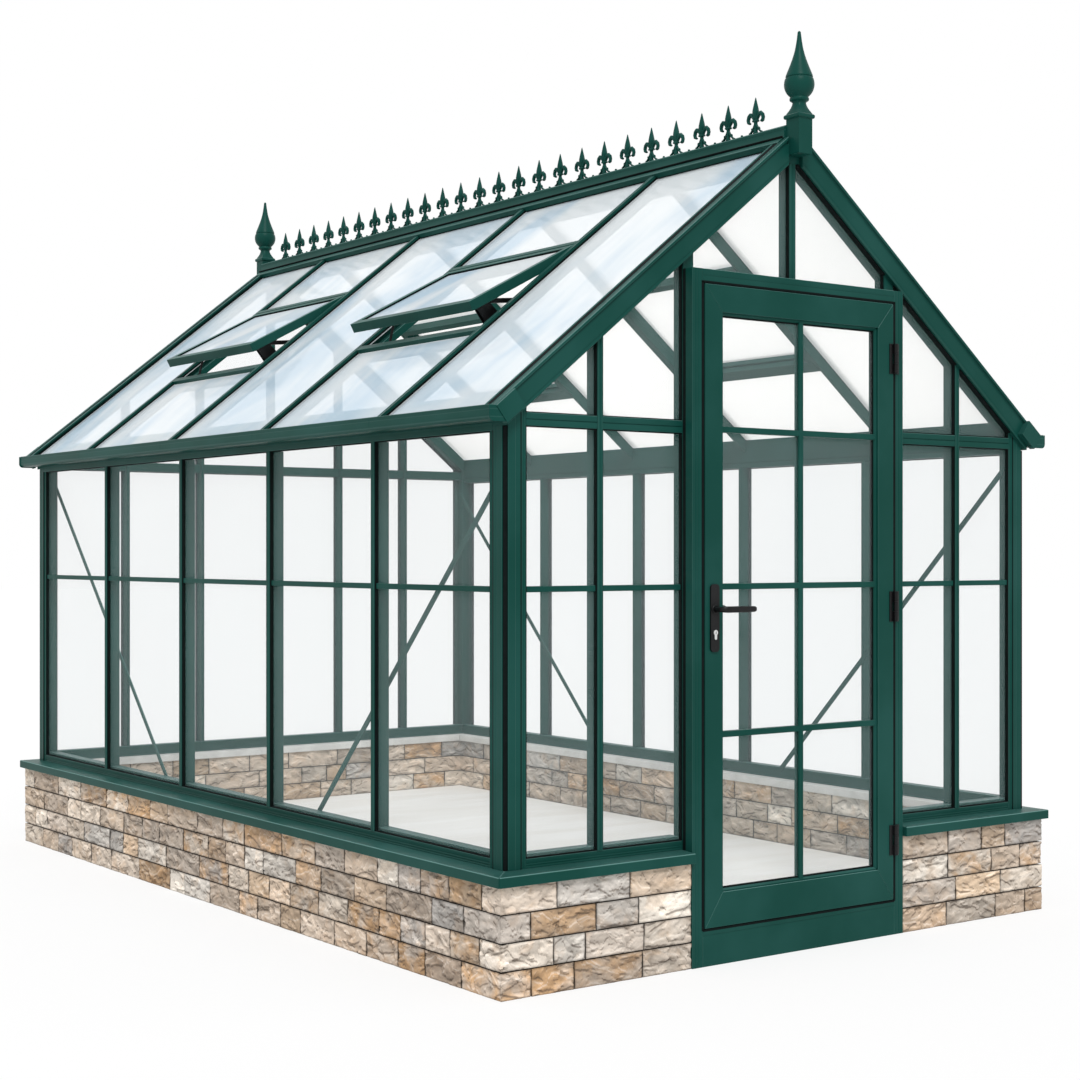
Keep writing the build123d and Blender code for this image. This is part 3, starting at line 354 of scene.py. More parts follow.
@dataclass(frozen=True)
class Stone:
    """Split-faced sandstone with painted shade and highlights. The mesh's tone attribute holds tint,
    value, warmth and relief.
    """

    name: str = "split_stone"
    beds: tuple[tuple[float, Colour], ...] = (
        (0.0, (0.70, 0.62, 0.53)),
        (0.16, (0.54, 0.44, 0.35)),
        (0.32, (0.55, 0.50, 0.45)),
        (0.46, (0.66, 0.53, 0.41)),
        (0.58, (0.44, 0.42, 0.40)),
        (0.72, (0.76, 0.70, 0.62)),
        (0.86, (0.38, 0.30, 0.235)),
        (1.0, (0.60, 0.46, 0.33)),
    )
    rust: Colour = (0.53, 0.34, 0.19)
    # pale and the darker colour after it paint the highlight on a ledge's brow and the shadow under it
    pale: Colour = (0.88, 0.83, 0.76)
    ledge_shadow: Colour = (0.155, 0.118, 0.09)
    levels: float = 6.5
    lift: float = 6 * MM
    shift: Triple = (7.3, 5.9, 3.7)

    def _ledges(self, sheet: Sheet, spot: Wire, lift: float) -> tuple[Wire, Wire]:
        """Reads the split face a little higher up.

        Args:
            sheet: The material's tree.
            spot: The place.
            lift: How much higher.

        Returns:
            The smooth face and the same face broken into ledges.
        """
        raised = sheet.add("ShaderNodeVectorMath", {"operation": "ADD"}, {0: spot, 1: (0, 0, lift)})
        layered = sheet.stretched(raised, (1.0, 1.0, 1.8))
        swell = sheet.noise(layered, 10.5, 5.0, 0.6) * self.levels
        step = sheet.add("ShaderNodeMath", {"operation": "FLOOR"}, {0: swell})
        return swell, step + (swell - step).ramp(0.34, 0.66)

    def _rock(self, sheet: Sheet, tint: Wire, rust: Wire, brow: Wire) -> Wire:
        """Colours the rock, with a painted highlight on each ledge's brow and painted shadow under it.

        Args:
            sheet: The material's tree.
            tint: Which bed of rock it is, from 0 to 1.
            rust: How rusty it is.
            brow: Above 0 on a ledge's brow and below 0 under it.

        Returns:
            The rock's colour with the ledges' painted light, before the relief's painted shade.
        """
        bed = sheet.add("ShaderNodeValToRGB", {"stops": self.beds}, {0: tint})
        rusty = sheet.mix(rust, bed, self.rust)
        lit = sheet.mix(brow.ramp(0.1, 0.95) * 0.24, rusty, self.pale)
        return sheet.mix((-1 * brow).ramp(0.1, 0.95) * 0.6, lit, self.ledge_shadow)

    @cache
    def material(self) -> bpy.types.Material:
        """Builds the stone once.

        Returns:
            The material.
        """
        sheet = Sheet(bpy.data.materials.new(self.name))
        tone = sheet.add("ShaderNodeAttribute", {"attribute_name": "tone"}, output="Color")
        relief = sheet.add("ShaderNodeAttribute", {"attribute_name": "tone"}, output="Alpha")
        tint, value, warmth = [
            sheet.add("ShaderNodeSeparateColor", {}, {0: tone}, i) for i in range(3)
        ]
        own = {0: tone, 1: self.shift, 2: sheet.place()}
        spot = sheet.add("ShaderNodeVectorMath", {"operation": "MULTIPLY_ADD"}, own)
        blotch = sheet.noise(spot, 15.0, 4.0, 0.3)
        grit = sheet.noise(spot, 240.0, 3.0)
        # the split face and the same face read a little higher: their difference is an emboss, used as
        # painted shade and highlight
        swell, ledge = self._ledges(sheet, spot, 0.0)
        higher_swell, higher_ledge = self._ledges(sheet, spot, self.lift)
        emboss_shade = (swell - higher_swell).ramp(-0.9, 0.9)
        rust = warmth * (blotch.ramp(0.34, 0.62) * 0.75 + 0.25) + blotch.ramp(0.52, 0.68) * 0.22
        body = self._rock(sheet, tint, rust, ledge - higher_ledge)
        # painted shade: dark where the relief is low, near the stones' edges and in the joints; paler
        # where the face looks up
        shade = (0.10 + relief * 0.97) * (sheet.upward().ramp(-0.5, 0.5) * 0.34 + 0.84)
        shade = shade * (emboss_shade * 0.44 + 0.78) * (value * 0.44 + 0.75) * (grit * 0.26 + 0.87)
        grey = sheet.add("ShaderNodeCombineXYZ", {}, {0: shade, 1: shade, 2: shade})
        blend = {"data_type": "RGBA", "blend_type": "MULTIPLY"}
        return sheet.surface(
            Base_Color=sheet.add("ShaderNodeMix", blend, {0: 1.0, 6: body, 7: grey}, 2),
            Roughness=emboss_shade * -0.1 + 0.92,
            Specular_IOR_Level=0.2,
            Normal=sheet.bump(ledge * 0.3 + swell * 0.2 + grit * 0.12, 0.7, 0.006),
        )


@dataclass(frozen=True)
class Mineral:
    """Concrete, mortar or paving: two close colours, soft streaks and a fine grain."""

    name: str
    colour: Colour
    second: Colour
    stretch: Triple = (1.0, 1.0, 1.0)
    scale: float = 6.0
    grain: float = 0.3
    speck: Colour = (0.36, 0.35, 0.33)

    @cache
    def material(self) -> bpy.types.Material:
        """Builds the material once.

        Returns:
            The material.
        """
        sheet = Sheet(bpy.data.materials.new(self.name))
        cloud = sheet.noise(sheet.place(self.stretch), self.scale, 5.0, 0.6)
        grit = sheet.noise(sheet.place(), 230.0, 3.0)
        colour = sheet.mix(cloud.ramp(0.36, 0.66), self.colour, self.second)
        return sheet.surface(
            Base_Color=sheet.mix(grit.ramp(0.58, 0.74) * self.grain, colour, self.speck),
            Roughness=0.86 + cloud * 0.08,
            Specular_IOR_Level=0.25,
            Normal=sheet.bump(grit, 0.25, 0.001),
        )


@dataclass(frozen=True)
class Metal:
    """Bare metal with a fine brushed grain."""

    name: str
    colour: Colour
    roughness: float

    @cache
    def material(self) -> bpy.types.Material:
        """Builds the metal once.

        Returns:
            The material.
        """
        sheet = Sheet(bpy.data.materials.new(self.name))
        brushed = sheet.noise(sheet.place((1.0, 1.0, 14.0)), 160.0, 3.0)
        return sheet.surface(
            Base_Color=self.colour,
            Metallic=1.0,
            Roughness=brushed * 0.16 + self.roughness,
            Normal=sheet.bump(brushed, 0.08, 0.0003),
        )


Finish = Paint | Rubber | Glass | Stone | Mineral | Metal
GREEN = Paint("fir_green_paint", (0.0032, 0.049, 0.038), (0.0115, 0.070, 0.059))
BLACK = Paint(
    "satin_black_paint",
    (0.004, 0.004, 0.0045),
    (0.010, 0.010, 0.011),
    lighter_colour=(0.06, 0.06, 0.06),
    roughness=0.34,
    gloss=0.2,
    dust_and_sheen=0.03,
)
GASKET_AND_SHADE = Rubber()
# a pale grey strip laid beyond the roof seals
PALE_STRIP = Mineral("pale_seal_strip", (0.40, 0.43, 0.44), (0.52, 0.55, 0.56), scale=30.0, grain=0.1)
WALL_GLASS = Glass("clear_glass", (0.60, 0.69, 0.705), (0.53, 0.645, 0.66), film=0.06, gloss=0.45)
# roof glass: its two colours lie far apart, so the streaks also paint reflection bands; a painted glow
# lights its underside
ROOF_GLASS = Glass(
    "roof_glass", (0.80, 0.845, 0.87), (0.50, 0.64, 0.76), film=0.55, glow=0.5, gloss=0.03
)
VENT_GLASS = replace(ROOF_GLASS, name="vent_glass", roughness=0.5)
SPLIT_STONE = Stone()
MORTAR = Mineral("mortar", (0.075, 0.060, 0.050), (0.13, 0.108, 0.088), scale=25.0)
COPING = Mineral("cast_coping", (0.62, 0.62, 0.60), (0.72, 0.72, 0.70), scale=9.0)
PAVING = Mineral(
    "pale_paving", (0.97, 0.965, 0.945), (0.91, 0.895, 0.86), (0.5, 2.2, 1.0), scale=2.6, grain=0.04
)
STEEL = Metal("lock_steel", (0.68, 0.68, 0.67), 0.22)


# ---- shape building
def section_bar(
    points: Outline,
    origin: Vector,
    across: Vector,
    out: Vector,
    run: Vector,
    rounding: float = 0.0,
    steps: int = 2,
) -> Shape:
    """A bar of one section.

    Args:
        points: The section's corners, in turn, as distances along across and out.
        origin: Where the section's own origin lies.
        across: Unit vector of the first distance.
        out: Unit vector of the second distance.
        run: From the bar's first end to its other end.
        rounding: How far each corner is cut back.
        steps: Faces round each corner.

    Returns:
        The closed bar.
    """
    shape = bmesh.new()
    corners = [shape.verts.new(origin + across * u + out * v) for u, v in points]
    shape.faces.new(corners)
    if rounding:
        round_off(shape, corners, rounding, steps, "VERTICES")
    grown = bmesh.ops.extrude_face_region(shape, geom=shape.faces[:])["geom"]
    moved = [part for part in grown if isinstance(part, Corner)]
    bmesh.ops.translate(shape, vec=run, verts=moved)
    return closed(shape)


def rectangle(across: Span, out: Span) -> list[Span]:
    """The four corners of a rectangle."""
    return [(across[0], out[0]), (across[1], out[0]), (across[1], out[1]), (across[0], out[1])]


def strip(half: float, out: Span) -> list[Span]:
    """A rectangle that reaches equally far to both sides."""
    return rectangle((-half, half), out)


def mirrored(right: Outline) -> list[Span]:
    """A whole outline from its right half, whose points on the middle line come once."""
    return [*right, *[(-across, out) for across, out in reversed(right) if across]]


def slab(low: Sequence[float], high: Sequence[float], rounding: float = 0.0) -> Shape:
    """A block between two corners.

    Args:
        low: Its lowest corner.
        high: Its highest corner.
        rounding: How far its edges are cut back.

    Returns:
        The block.
    """
    size = [b - a for a, b in zip(low, high)]
    middle = Vector([(a + b) / 2 for a, b in zip(low, high)])
    placed = Matrix.Translation(middle) @ Matrix.Diagonal((*size, 1.0))
    shape = bmesh.new()
    bmesh.ops.create_cube(shape, size=1.0, matrix=placed)
    if rounding:
        round_off(shape, shape.edges, rounding)
    return shape


def round_off(shape: Shape, parts: Iterable, width: float, steps: int = 2, what: str = "EDGES") -> None:
    """Bevels some edges, or some corners, of a shape."""
    sizes = {"offset": width, "segments": steps, "profile": 0.5, "material": -1}
    bmesh.ops.bevel(shape, geom=list(parts), affect=what, clamp_overlap=True, **sizes)


def cut(shape: Shape, point: Vector, normal: Vector) -> None:
    """Cuts away what lies on the normal's side of a plane and closes the cut.

    Args:
        shape: The shape, which is changed.
        point: A point of the plane.
        normal: The plane's normal.
    """
    parts = shape.verts[:] + shape.edges[:] + shape.faces[:]
    made = bmesh.ops.bisect_plane(
        shape, geom=parts, dist=1e-7, plane_co=point, plane_no=normal, clear_outer=True
    )["geom_cut"]
    edges = [part for part in made if isinstance(part, bmesh.types.BMEdge)]
    bmesh.ops.holes_fill(shape, edges=edges, sides=0)


def turned(profile: Outline, steps: int = 32) -> Shape:
    """A turning round Z.

    Args:
        profile: Points of radius and height, from end to end.
        steps: Faces round it.

    Returns:
        The closed turning.
    """
    shape = bmesh.new()
    line = [shape.verts.new((radius, 0.0, height)) for radius, height in profile]
    edges = [shape.edges.new(pair) for pair in zip(line, line[1:])]
    still = (0, 0, 0)
    whole = {"cent": still, "axis": Z, "dvec": still, "angle": math.tau, "use_merge": True}
    bmesh.ops.spin(shape, geom=line + edges, steps=steps, **whole)
    bmesh.ops.remove_doubles(shape, verts=shape.verts[:], dist=1e-6)
    return closed(shape)


def facing(place: Vector, out: Vector, scale: float = 1.0) -> Matrix:
    """Where a turning goes that stands on a place and points out from it."""
    turn = Z.rotation_difference(out).to_matrix().to_4x4()
    return Matrix.Translation(place) @ turn @ Matrix.Scale(scale, 4)


def closed(shape: Shape) -> Shape:
    """Turns the faces of a closed shape outwards."""
    bmesh.ops.recalc_face_normals(shape, faces=shape.faces[:])
    return shape


def moved(shape: Shape, matrix: Matrix) -> Shape:
    """Moves a shape and hands it back."""
    bmesh.ops.transform(shape, matrix=matrix, verts=shape.verts[:])
    return shape


def rod(start: Vector, end: Vector, radius: float, steps: int = 12) -> Shape:
    """A round rod, its ends a little rounded.

    Args:
        start: The middle of its first end.
        end: The middle of its other end.
        radius: Its radius.
        steps: Faces round it.

    Returns:
        The closed rod.
    """
    length = (end - start).length
    lip = min(radius * 0.3, length * 0.3)
    foot = [(0, 0), (radius - lip, 0), (radius, lip)]
    head = [(radius, length - lip), (radius - lip, length), (0, length)]
    return moved(turned(foot + head, steps), facing(start, end - start))


def lofted(rings: Sequence[Matrix], corners: int, square: Sequence[float] = ()) -> Shape:
    """A closed skin over a row of rings.

    Args:
        rings: Where each ring of radius 1 goes.
        corners: Vertices in a ring.
        square: How square each ring is, from 0, round, to 1.

    Returns:
        The skin with both ends closed.
    """
    shape = bmesh.new()
    loops = []
    for index, ring in enumerate(rings):
        made = bmesh.ops.create_circle(shape, segments=corners, radius=1.0)["verts"]
        push = square[index] if square else 0.0
        for corner in made:
            reach = 1.0 / max(abs(corner.co.x), abs(corner.co.y))
            corner.co = ring @ (corner.co * (1.0 + (reach - 1.0) * push))
        loops.append({edge for corner in made for edge in corner.link_edges})
    for first, second in zip(loops, loops[1:]):
        bmesh.ops.bridge_loops(shape, edges=list(first | second))
    bmesh.ops.holes_fill(shape, edges=[edge for edge in shape.edges if edge.is_boundary], sides=0)
    return closed(shape)


def rings_along(spots: Sequence[Vector], halves: Outline, side: Vector) -> list[Matrix]:
    """Rings square to a path.

    Args:
        spots: The path's points.
        halves: Half of each ring's width along side, and square to it.
        side: Unit vector square to the path.

    Returns:
        Where a ring of radius 1 goes at each point.
    """
    rings = []
    for index, (spot, (wide, deep)) in enumerate(zip(spots, halves)):
        before, after = spots[max(index - 1, 0)], spots[min(index + 1, len(spots) - 1)]
        way = (after - before).normalized()
        turn = Matrix((side * wide, way.cross(side) * deep, way)).transposed().to_4x4()
        rings.append(Matrix.Translation(spot) @ turn)
    return rings


def ribbon(path: Sequence[Triple], thickness: float, corners: int = 8) -> Shape:
    """A tapered scroll in the YZ plane; the path's rows are y, z and half width."""
    spots = [Vector((0, y, z)) for y, z, _ in path]
    return lofted(rings_along(spots, [(thickness / 2, half) for _, _, half in path], X), corners)


def solids(node: str) -> list[Shape]:
    """Takes a frame node apart.

    Args:
        node: The node's name.

    Returns:
        Its separate solids, merged and with flat faces joined.
    """
    whole = bmesh.new()
    whole.from_mesh(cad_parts[node].data)
    bmesh.ops.remove_doubles(whole, verts=whole.verts[:], dist=1e-6)
    bmesh.ops.dissolve_limit(
        whole, angle_limit=math.radians(0.5), verts=whole.verts[:], edges=whole.edges[:]
    )
    found, seen = [], set()
    for start in whole.verts:
        if start in seen:
            continue
        island, todo = set(), [start]
        while todo:
            corner = todo.pop()
            if corner not in island:
                island.add(corner)
                todo += [edge.other_vert(corner) for edge in corner.link_edges]
        seen |= island
        single = whole.copy()
        single.verts.ensure_lookup_table()
        others = [single.verts[v.index] for v in whole.verts if v not in island]
        bmesh.ops.delete(single, geom=others, context="VERTS")
        found.append(single)
    whole.free()
    return found


def limits(shape: Shape) -> tuple[Vector, Vector]:
    """Lowest and highest corner of a shape."""
    rows = list(zip(*(corner.co for corner in shape.verts)))
    return Vector([min(row) for row in rows]), Vector([max(row) for row in rows])


def half_of(shape: Shape, axis: Vector) -> float:
    """Which half of the greenhouse a shape lies in, along an axis: -1 or 1."""
    low, high = limits(shape)
    return math.copysign(1.0, (low + high).dot(axis))


def middles(node: str, axis: int, digits: int = 5) -> list[float]:
    """Where the solids of a node have their middles along an axis, each place once."""
    boxes = [limits(shape) for shape in solids(node)]
    return sorted({round((low[axis] + high[axis]) / 2, digits) for low, high in boxes})


class Piece:
    """One named object of the greenhouse, gathered from closed shapes."""

    def __init__(self, name: str, body: Body, slot: Slot, *finishes: "Finish") -> None:
        """Starts an empty piece.

        Args:
            name: The object's name.
            body: What it moves with.
            slot: The record's slot; not used, only kept.
            finishes: Its materials, in the order that join numbers them.
        """
        self.name, self.body, self.slot = name, body, slot
        self.finishes = finishes
        self.gathered = bmesh.new()

    def join(self, *shapes: Shape, finish: int = 0) -> "Piece":
        """Adds shapes to the piece and frees them.

        Args:
            shapes: The shapes.
            finish: Which of the piece's finishes they have.

        Returns:
            The piece itself.
        """
        for shape in shapes:
            for face in shape.faces:
                face.material_index = finish
            carrier = bpy.data.meshes.new("carrier")
            shape.to_mesh(carrier)
            shape.free()
            self.gathered.from_mesh(carrier)
            bpy.data.meshes.remove(carrier)
        return self

    def done(self, *nodes: str, crease: float = 32.0) -> bpy.types.Object:
        """Makes the object.

        Args:
            nodes: Frame nodes that this piece stands for.
            crease: Edges sharper than this many degrees stay sharp.

        Returns:
            The object, riding on its body.
        """
        mesh = bpy.data.meshes.new(self.name)
        if any(isinstance(finish, Paint) for finish in self.finishes):
            self._mark_edges()
        for face in self.gathered.faces:
            face.smooth = True
        count = len(self.gathered.faces)
        self.gathered.to_mesh(mesh)
        self.gathered.free()
        for finish in self.finishes:
            mesh.materials.append(finish.material())
        mesh.set_sharp_from_angle(angle=math.radians(crease))
        made = bpy.data.objects.new(self.name, mesh)
        bpy.context.scene.collection.objects.link(made)
        if not any(isinstance(finish, Stone) for finish in self.finishes):
            even = made.modifiers.new("even_normals", "WEIGHTED_NORMAL")
            even.keep_sharp = True
        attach(made, self.body.value)
        if nodes:
            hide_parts(*nodes)
        LOG.info("%-24s %6d faces, rides on %s", self.name, count, self.body.value)
        return made

    def _mark_edges(self) -> None:
        """Marks the long slender faces along the edges, which the paint gives a painted highlight."""
        layer = self.gathered.faces.layers.float.new("edge")
        for face in self.gathered.faces:
            longest = max(edge.calc_length() for edge in face.edges)
            if longest > EDGE_LENGTH and face.calc_area() < longest * EDGE_WIDTH:
                face[layer] = 1.0


def softened(node: str, width: float = 1.2 * MM, steps: int = 2) -> list[Shape]:
    """Rounds the outer edges of a frame node.

    Args:
        node: The node's name.
        width: How far each edge is cut back.
        steps: Faces across each edge.

    Returns:
        Its separate solids, rounded.
    """
    shapes = solids(node)
    for shape in shapes:
        sharp = [
            edge
            for edge in shape.edges
            if edge.is_manifold and edge.is_convex and edge.calc_face_angle(0.0) > math.radians(35)
        ]
        round_off(shape, sharp, width, steps)
    return shapes


def painted(node: str, *more: "Finish") -> Piece:
    """An empty green piece of the building, for one frame node."""
    return Piece(f"{node}_finished", Body.BUILDING, Slot.GREEN, GREEN, *more)


# ---- stone base
@dataclass(frozen=True)
class StonePath:
    """A path round the base in plan, with its open side on the left."""

    corners: tuple[Vector, ...]

    @property
    def turns(self) -> list[float]:
        """Distance along the path of each corner."""
        legs = zip(self.corners, self.corners[1:])
        return list(accumulate(((second - first).length for first, second in legs), initial=0.0))

    def at(self, distance: float) -> tuple[Vector, Vector, int]:
        """Finds a place on the path.

        Args:
            distance: How far along the path it is.

        Returns:
            The place, the open direction there (both directions at a corner) and the leg.
        """
        turns = self.turns
        last = len(self.corners) - 2
        leg = next((i for i in range(last) if distance <= turns[i + 1] + 1e-7), last)
        along = (self.corners[leg + 1] - self.corners[leg]).normalized()
        spot = self.corners[leg] + along * (distance - turns[leg])
        out = Z.cross(along)
        if leg < last and abs(distance - turns[leg + 1]) < 1e-6:
            out = out + Z.cross((self.corners[leg + 2] - self.corners[leg + 1]).normalized())
        return spot, out, leg


@dataclass(frozen=True)
class StoneLook:
    """Tint, value, warmth and the shift of the split face of one stone."""

    tint: float
    value: float
    warmth: float
    shift: Vector


@dataclass(frozen=True)
class StoneBed:
    """Where one stone lies on its path, between which heights, and how fine its face is."""

    path: StonePath
    span: Span
    rise: Span
    cell: float

    @property
    def bends(self) -> list[float]:
        """Corners of the path that the stone turns."""
        return [turn for turn in self.path.turns[1:-1] if self.span[0] < turn < self.span[1]]

    def cells(self, ends: Span) -> int:
        """How many cells its face has between two ends."""
        return max(3, round((ends[1] - ends[0]) / self.cell))

    def stops(self, across: int) -> list[float]:
        """Places the face's columns.

        Args:
            across: How many cells lie side by side.

        Returns:
            Distance of each column along the path, with one at each bend.
        """
        start, end = self.span
        stops = [start + (end - start) * i / across for i in range(across + 1)]
        for bend in self.bends:
            stops[min(range(1, across), key=lambda i: abs(stops[i] - bend))] = bend
        return stops

    def edge(self, distance: float, height: float) -> float:
        """How far a place is from the nearest edge of the face."""
        along = min(distance - self.span[0], self.span[1] - distance)
        return min(along, height - self.rise[0], self.rise[1] - height)


@dataclass(frozen=True)
class FacePoint:
    """A point of a stone's face: its place, the open direction and how far it is sunk."""

    spot: Vector
    out: Vector
    sunk: float
    is_bent: bool


Rim = dict[Corner, FacePoint]


@dataclass
class DwarfWall:
    """The split-stone base: mortar cores with their own stones on both faces."""

    shortest: float = 0.105
    longest: float = 0.30
    usual: float = 0.17
    joint: float = 0.0038
    joint_depth: float = 0.013
    stone_depth: float = 0.023
    relief: float = 0.0095
    arris: float = 0.0055
    skirt: float = 0.0012
    edge_shade: float = 0.52
    cell: float = 0.0056
    inner_cell: float = 0.012
    courses: int = 4
    inner_courses: int = 3
    corner_legs: Span = (0.105, 0.2)
    corner_play: Span = (-0.015, 0.03)
    seed: int = 11

    def __post_init__(self) -> None:
        """Seeds the draws and the split faces' noise."""
        self.rng = random.Random(self.seed)
        noise.seed_set(self.seed)
        self.pieces: dict[str, Piece] = {}

    def build(self) -> None:
        """Makes one piece for each wall."""
        low_x, low_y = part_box("dwarf_wall_left")[0].xy
        high_y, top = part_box("dwarf_wall_left")[1].yz
        inner_x, inner_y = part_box("dwarf_wall_right")[0].x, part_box("dwarf_wall_back")[0].y
        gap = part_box("dwarf_wall_front_right")[0].x
        names = ("left", "right", "back", "front_left", "front_right")
        for name in names:
            title = f"stone_wall_{name}"
            self.pieces[name] = Piece(title, Body.BUILDING, Slot.STONE, SPLIT_STONE, MORTAR)
            self._core(name)
        outside = self._round_trip(-1, (gap, low_y), (-low_x, low_y), (-low_x, high_y))
        owners = ("front_left", "left", "back", "right", "front_right")
        self._clad(outside, owners, (0.0, top), self.courses, self.cell)
        inside = self._round_trip(1, (gap, -inner_y), (inner_x, -inner_y), (inner_x, inner_y))
        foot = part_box("floor_slab")[1].z
        owners = ("front_right", "right", "back", "left", "front_left")
        self._clad(inside, owners, (foot, top), self.inner_courses, self.inner_cell)
        for name in names:
            self.pieces[name].done(f"dwarf_wall_{name}", crease=34.0)

    @staticmethod
    def _round_trip(side: int, *plan: Span) -> StonePath:
        """A path through some places of the plan, and back through their mirror images."""
        way = [(side * x, y, 0) for x, y in plan] + [(-side * x, y, 0) for x, y in reversed(plan)]
        return StonePath(tuple(Vector(spot) for spot in way))

    def _core(self, name: str) -> None:
        """Adds the mortar behind the stones, as deep as the joints.

        Args:
            name: The wall's name.
        """
        low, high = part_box(f"dwarf_wall_{name}")
        inset = Vector((self.joint_depth, self.joint_depth, 0))
        low, high = low + inset, high - inset
        into_corner = X * (2 * self.joint_depth)
        beside_door = X * self.joint_depth
        if name not in ("left", "right"):
            low -= beside_door if name == "front_right" else into_corner
            high += beside_door if name == "front_left" else into_corner
        self.pieces[name].join(slab(low, high), finish=1)

    def _clad(
        self, path: StonePath, owners: Sequence[str], heights: Span, courses: int, cell: float
    ) -> None:
        """Lays every course of stones along a path.

        Args:
            path: The path of the wall's face.
            owners: The wall that each leg belongs to.
            heights: Foot and top of the courses.
            courses: How many there are.
            cell: Size of the split face's mesh.
        """
        rise = (heights[1] - heights[0]) / courses
        for course in range(courses):
            low = heights[0] + rise * course + (self.joint / 2 if course else 0.0)
            last = course == courses - 1
            high = heights[1] if last else heights[0] + rise * (course + 1) - self.joint / 2
            for start, end in self._lengths(path, course % 2):
                owner = owners[path.at((start + end) / 2)[2]]
                bed = StoneBed(path, (start, end), (low, high), cell)
                self.pieces[owner].join(self._stone(bed))

    def _lengths(self, path: StonePath, phase: int) -> list[Span]:
        """Splits one course into stones that turn each corner by a long and a short leg.

        Args:
            path: The path of the wall's face.
            phase: 0 or 1, which swaps the legs from course to course.

        Returns:
            Where each stone starts and ends along the path.
        """
        turns = path.turns
        marks = [0.0]
        for index, turn in enumerate(turns[1:-1]):
            before, after = self.corner_legs
            if (index + phase) % 2:
                before, after = after, before
            self._fill(marks, turn - before - self.rng.uniform(*self.corner_play))
            marks.append(turn + after + self.rng.uniform(*self.corner_play))
        self._fill(marks, turns[-1])
        half = self.joint / 2
        return [(first + half, second - half) for first, second in zip(marks, marks[1:])]

    def _fill(self, marks: list[float], end: float) -> None:
        """Adds stone ends up to a place, none shorter than the shortest stone.

        Args:
            marks: The ends so far, which grow.
            end: The place.
        """
        while end - marks[-1] > self.longest:
            room = end - marks[-1] - self.shortest
            step = self.rng.triangular(self.shortest, self.longest, self.usual)
            marks.append(marks[-1] + min(step, room))
        marks.append(end)

    def _stone(self, bed: StoneBed) -> Shape:
        """Makes one stone, bent round the path, with sides that run into the core.

        Args:
            bed: Where the stone lies.

        Returns:
            The closed stone.
        """
        shape = bmesh.new()
        shape.verts.layers.float_color.new("tone")
        look = self._look()
        rim = self._face(shape, bed, look)
        for depth in (None, self.stone_depth):
            rim = self._sides(shape, rim, look, depth)
        bmesh.ops.contextual_create(shape, geom=[e for e in shape.edges if e.is_boundary])
        folds = [corner for corner, point in rim.items() if point.is_bent]
        if folds:
            bmesh.ops.connect_verts(shape, verts=folds)
        return closed(shape)

    def _face(self, shape: Shape, bed: StoneBed, look: StoneLook) -> Rim:
        """Adds the split face of a stone.

        Args:
            shape: The stone, still empty.
            bed: Where it lies.
            look: Its look.

        Returns:
            The face's points.
        """
        tone = shape.verts.layers.float_color["tone"]
        across, up = bed.cells(bed.span), bed.cells(bed.rise)
        bmesh.ops.create_grid(shape, x_segments=across, y_segments=up, size=0.5)
        stops, bends = bed.stops(across), bed.bends
        edge_shade = self.edge_shade * min(1.0, self.cell / bed.cell)
        points = {}
        for corner in shape.verts:
            distance = stops[round((corner.co.x + 0.5) * across)]
            height = bed.rise[0] + (bed.rise[1] - bed.rise[0]) * (corner.co.y + 0.5)
            spot, out, _ = bed.path.at(distance)
            split = self._split_face(distance, height, look.shift)
            rim = max(0.0, 1.0 - bed.edge(distance, height) / self.arris)
            sunk = self.relief * (1 - split) * (1 - rim * 0.6) + self.arris * 0.5 * rim * rim
            is_bent = distance in bends
            point = FacePoint(spot + Z * height, out, sunk * (0.4 if is_bent else 1.0), is_bent)
            corner.co = point.spot - out * point.sunk
            # painted shade: the stone's material darkens where this is low, towards the stone's edges
            relief_shade = (0.60 + 0.40 * split) * (1 - rim * edge_shade)
            corner[tone] = (look.tint, look.value, look.warmth, relief_shade)
            points[corner] = point
        return points

    def _sides(self, shape: Shape, rim: Rim, look: StoneLook, depth: float | None) -> Rim:
        """Runs the sides of a stone back from its open rim.

        Args:
            shape: The stone so far.
            rim: Its rim's points.
            look: Its look.
            depth: How far behind the wall's face they end, or None for just behind the rim.

        Returns:
            The points of the new rim.
        """
        tone = shape.verts.layers.float_color["tone"]
        border = [edge for edge in shape.edges if edge.is_boundary]
        grown = bmesh.ops.extrude_edge_only(shape, edges=border)["geom"]
        new_rim = {}
        for corner in [part for part in grown if isinstance(part, Corner)]:
            near = [edge.other_vert(corner) for edge in corner.link_edges]
            point = next(rim[other] for other in near if other in rim)
            corner.co = point.spot - point.out * (depth or point.sunk + self.skirt)
            # painted shade: relief 0 makes the sides the darkest part, as the shade in the joints
            corner[tone] = (look.tint, look.value, look.warmth, 0.0)
            new_rim[corner] = point
        return new_rim

    def _look(self) -> StoneLook:
        """Draws the look of the next stone: about one in five is rusty.

        Returns:
            The look.
        """
        rng = self.rng
        warmth = rng.uniform(0.5, 0.95) if rng.random() < 0.2 else rng.uniform(0.0, 0.2)
        shift = Vector([rng.uniform(-40, 40) for _ in range(3)])
        return StoneLook(rng.random(), rng.random(), warmth, shift)

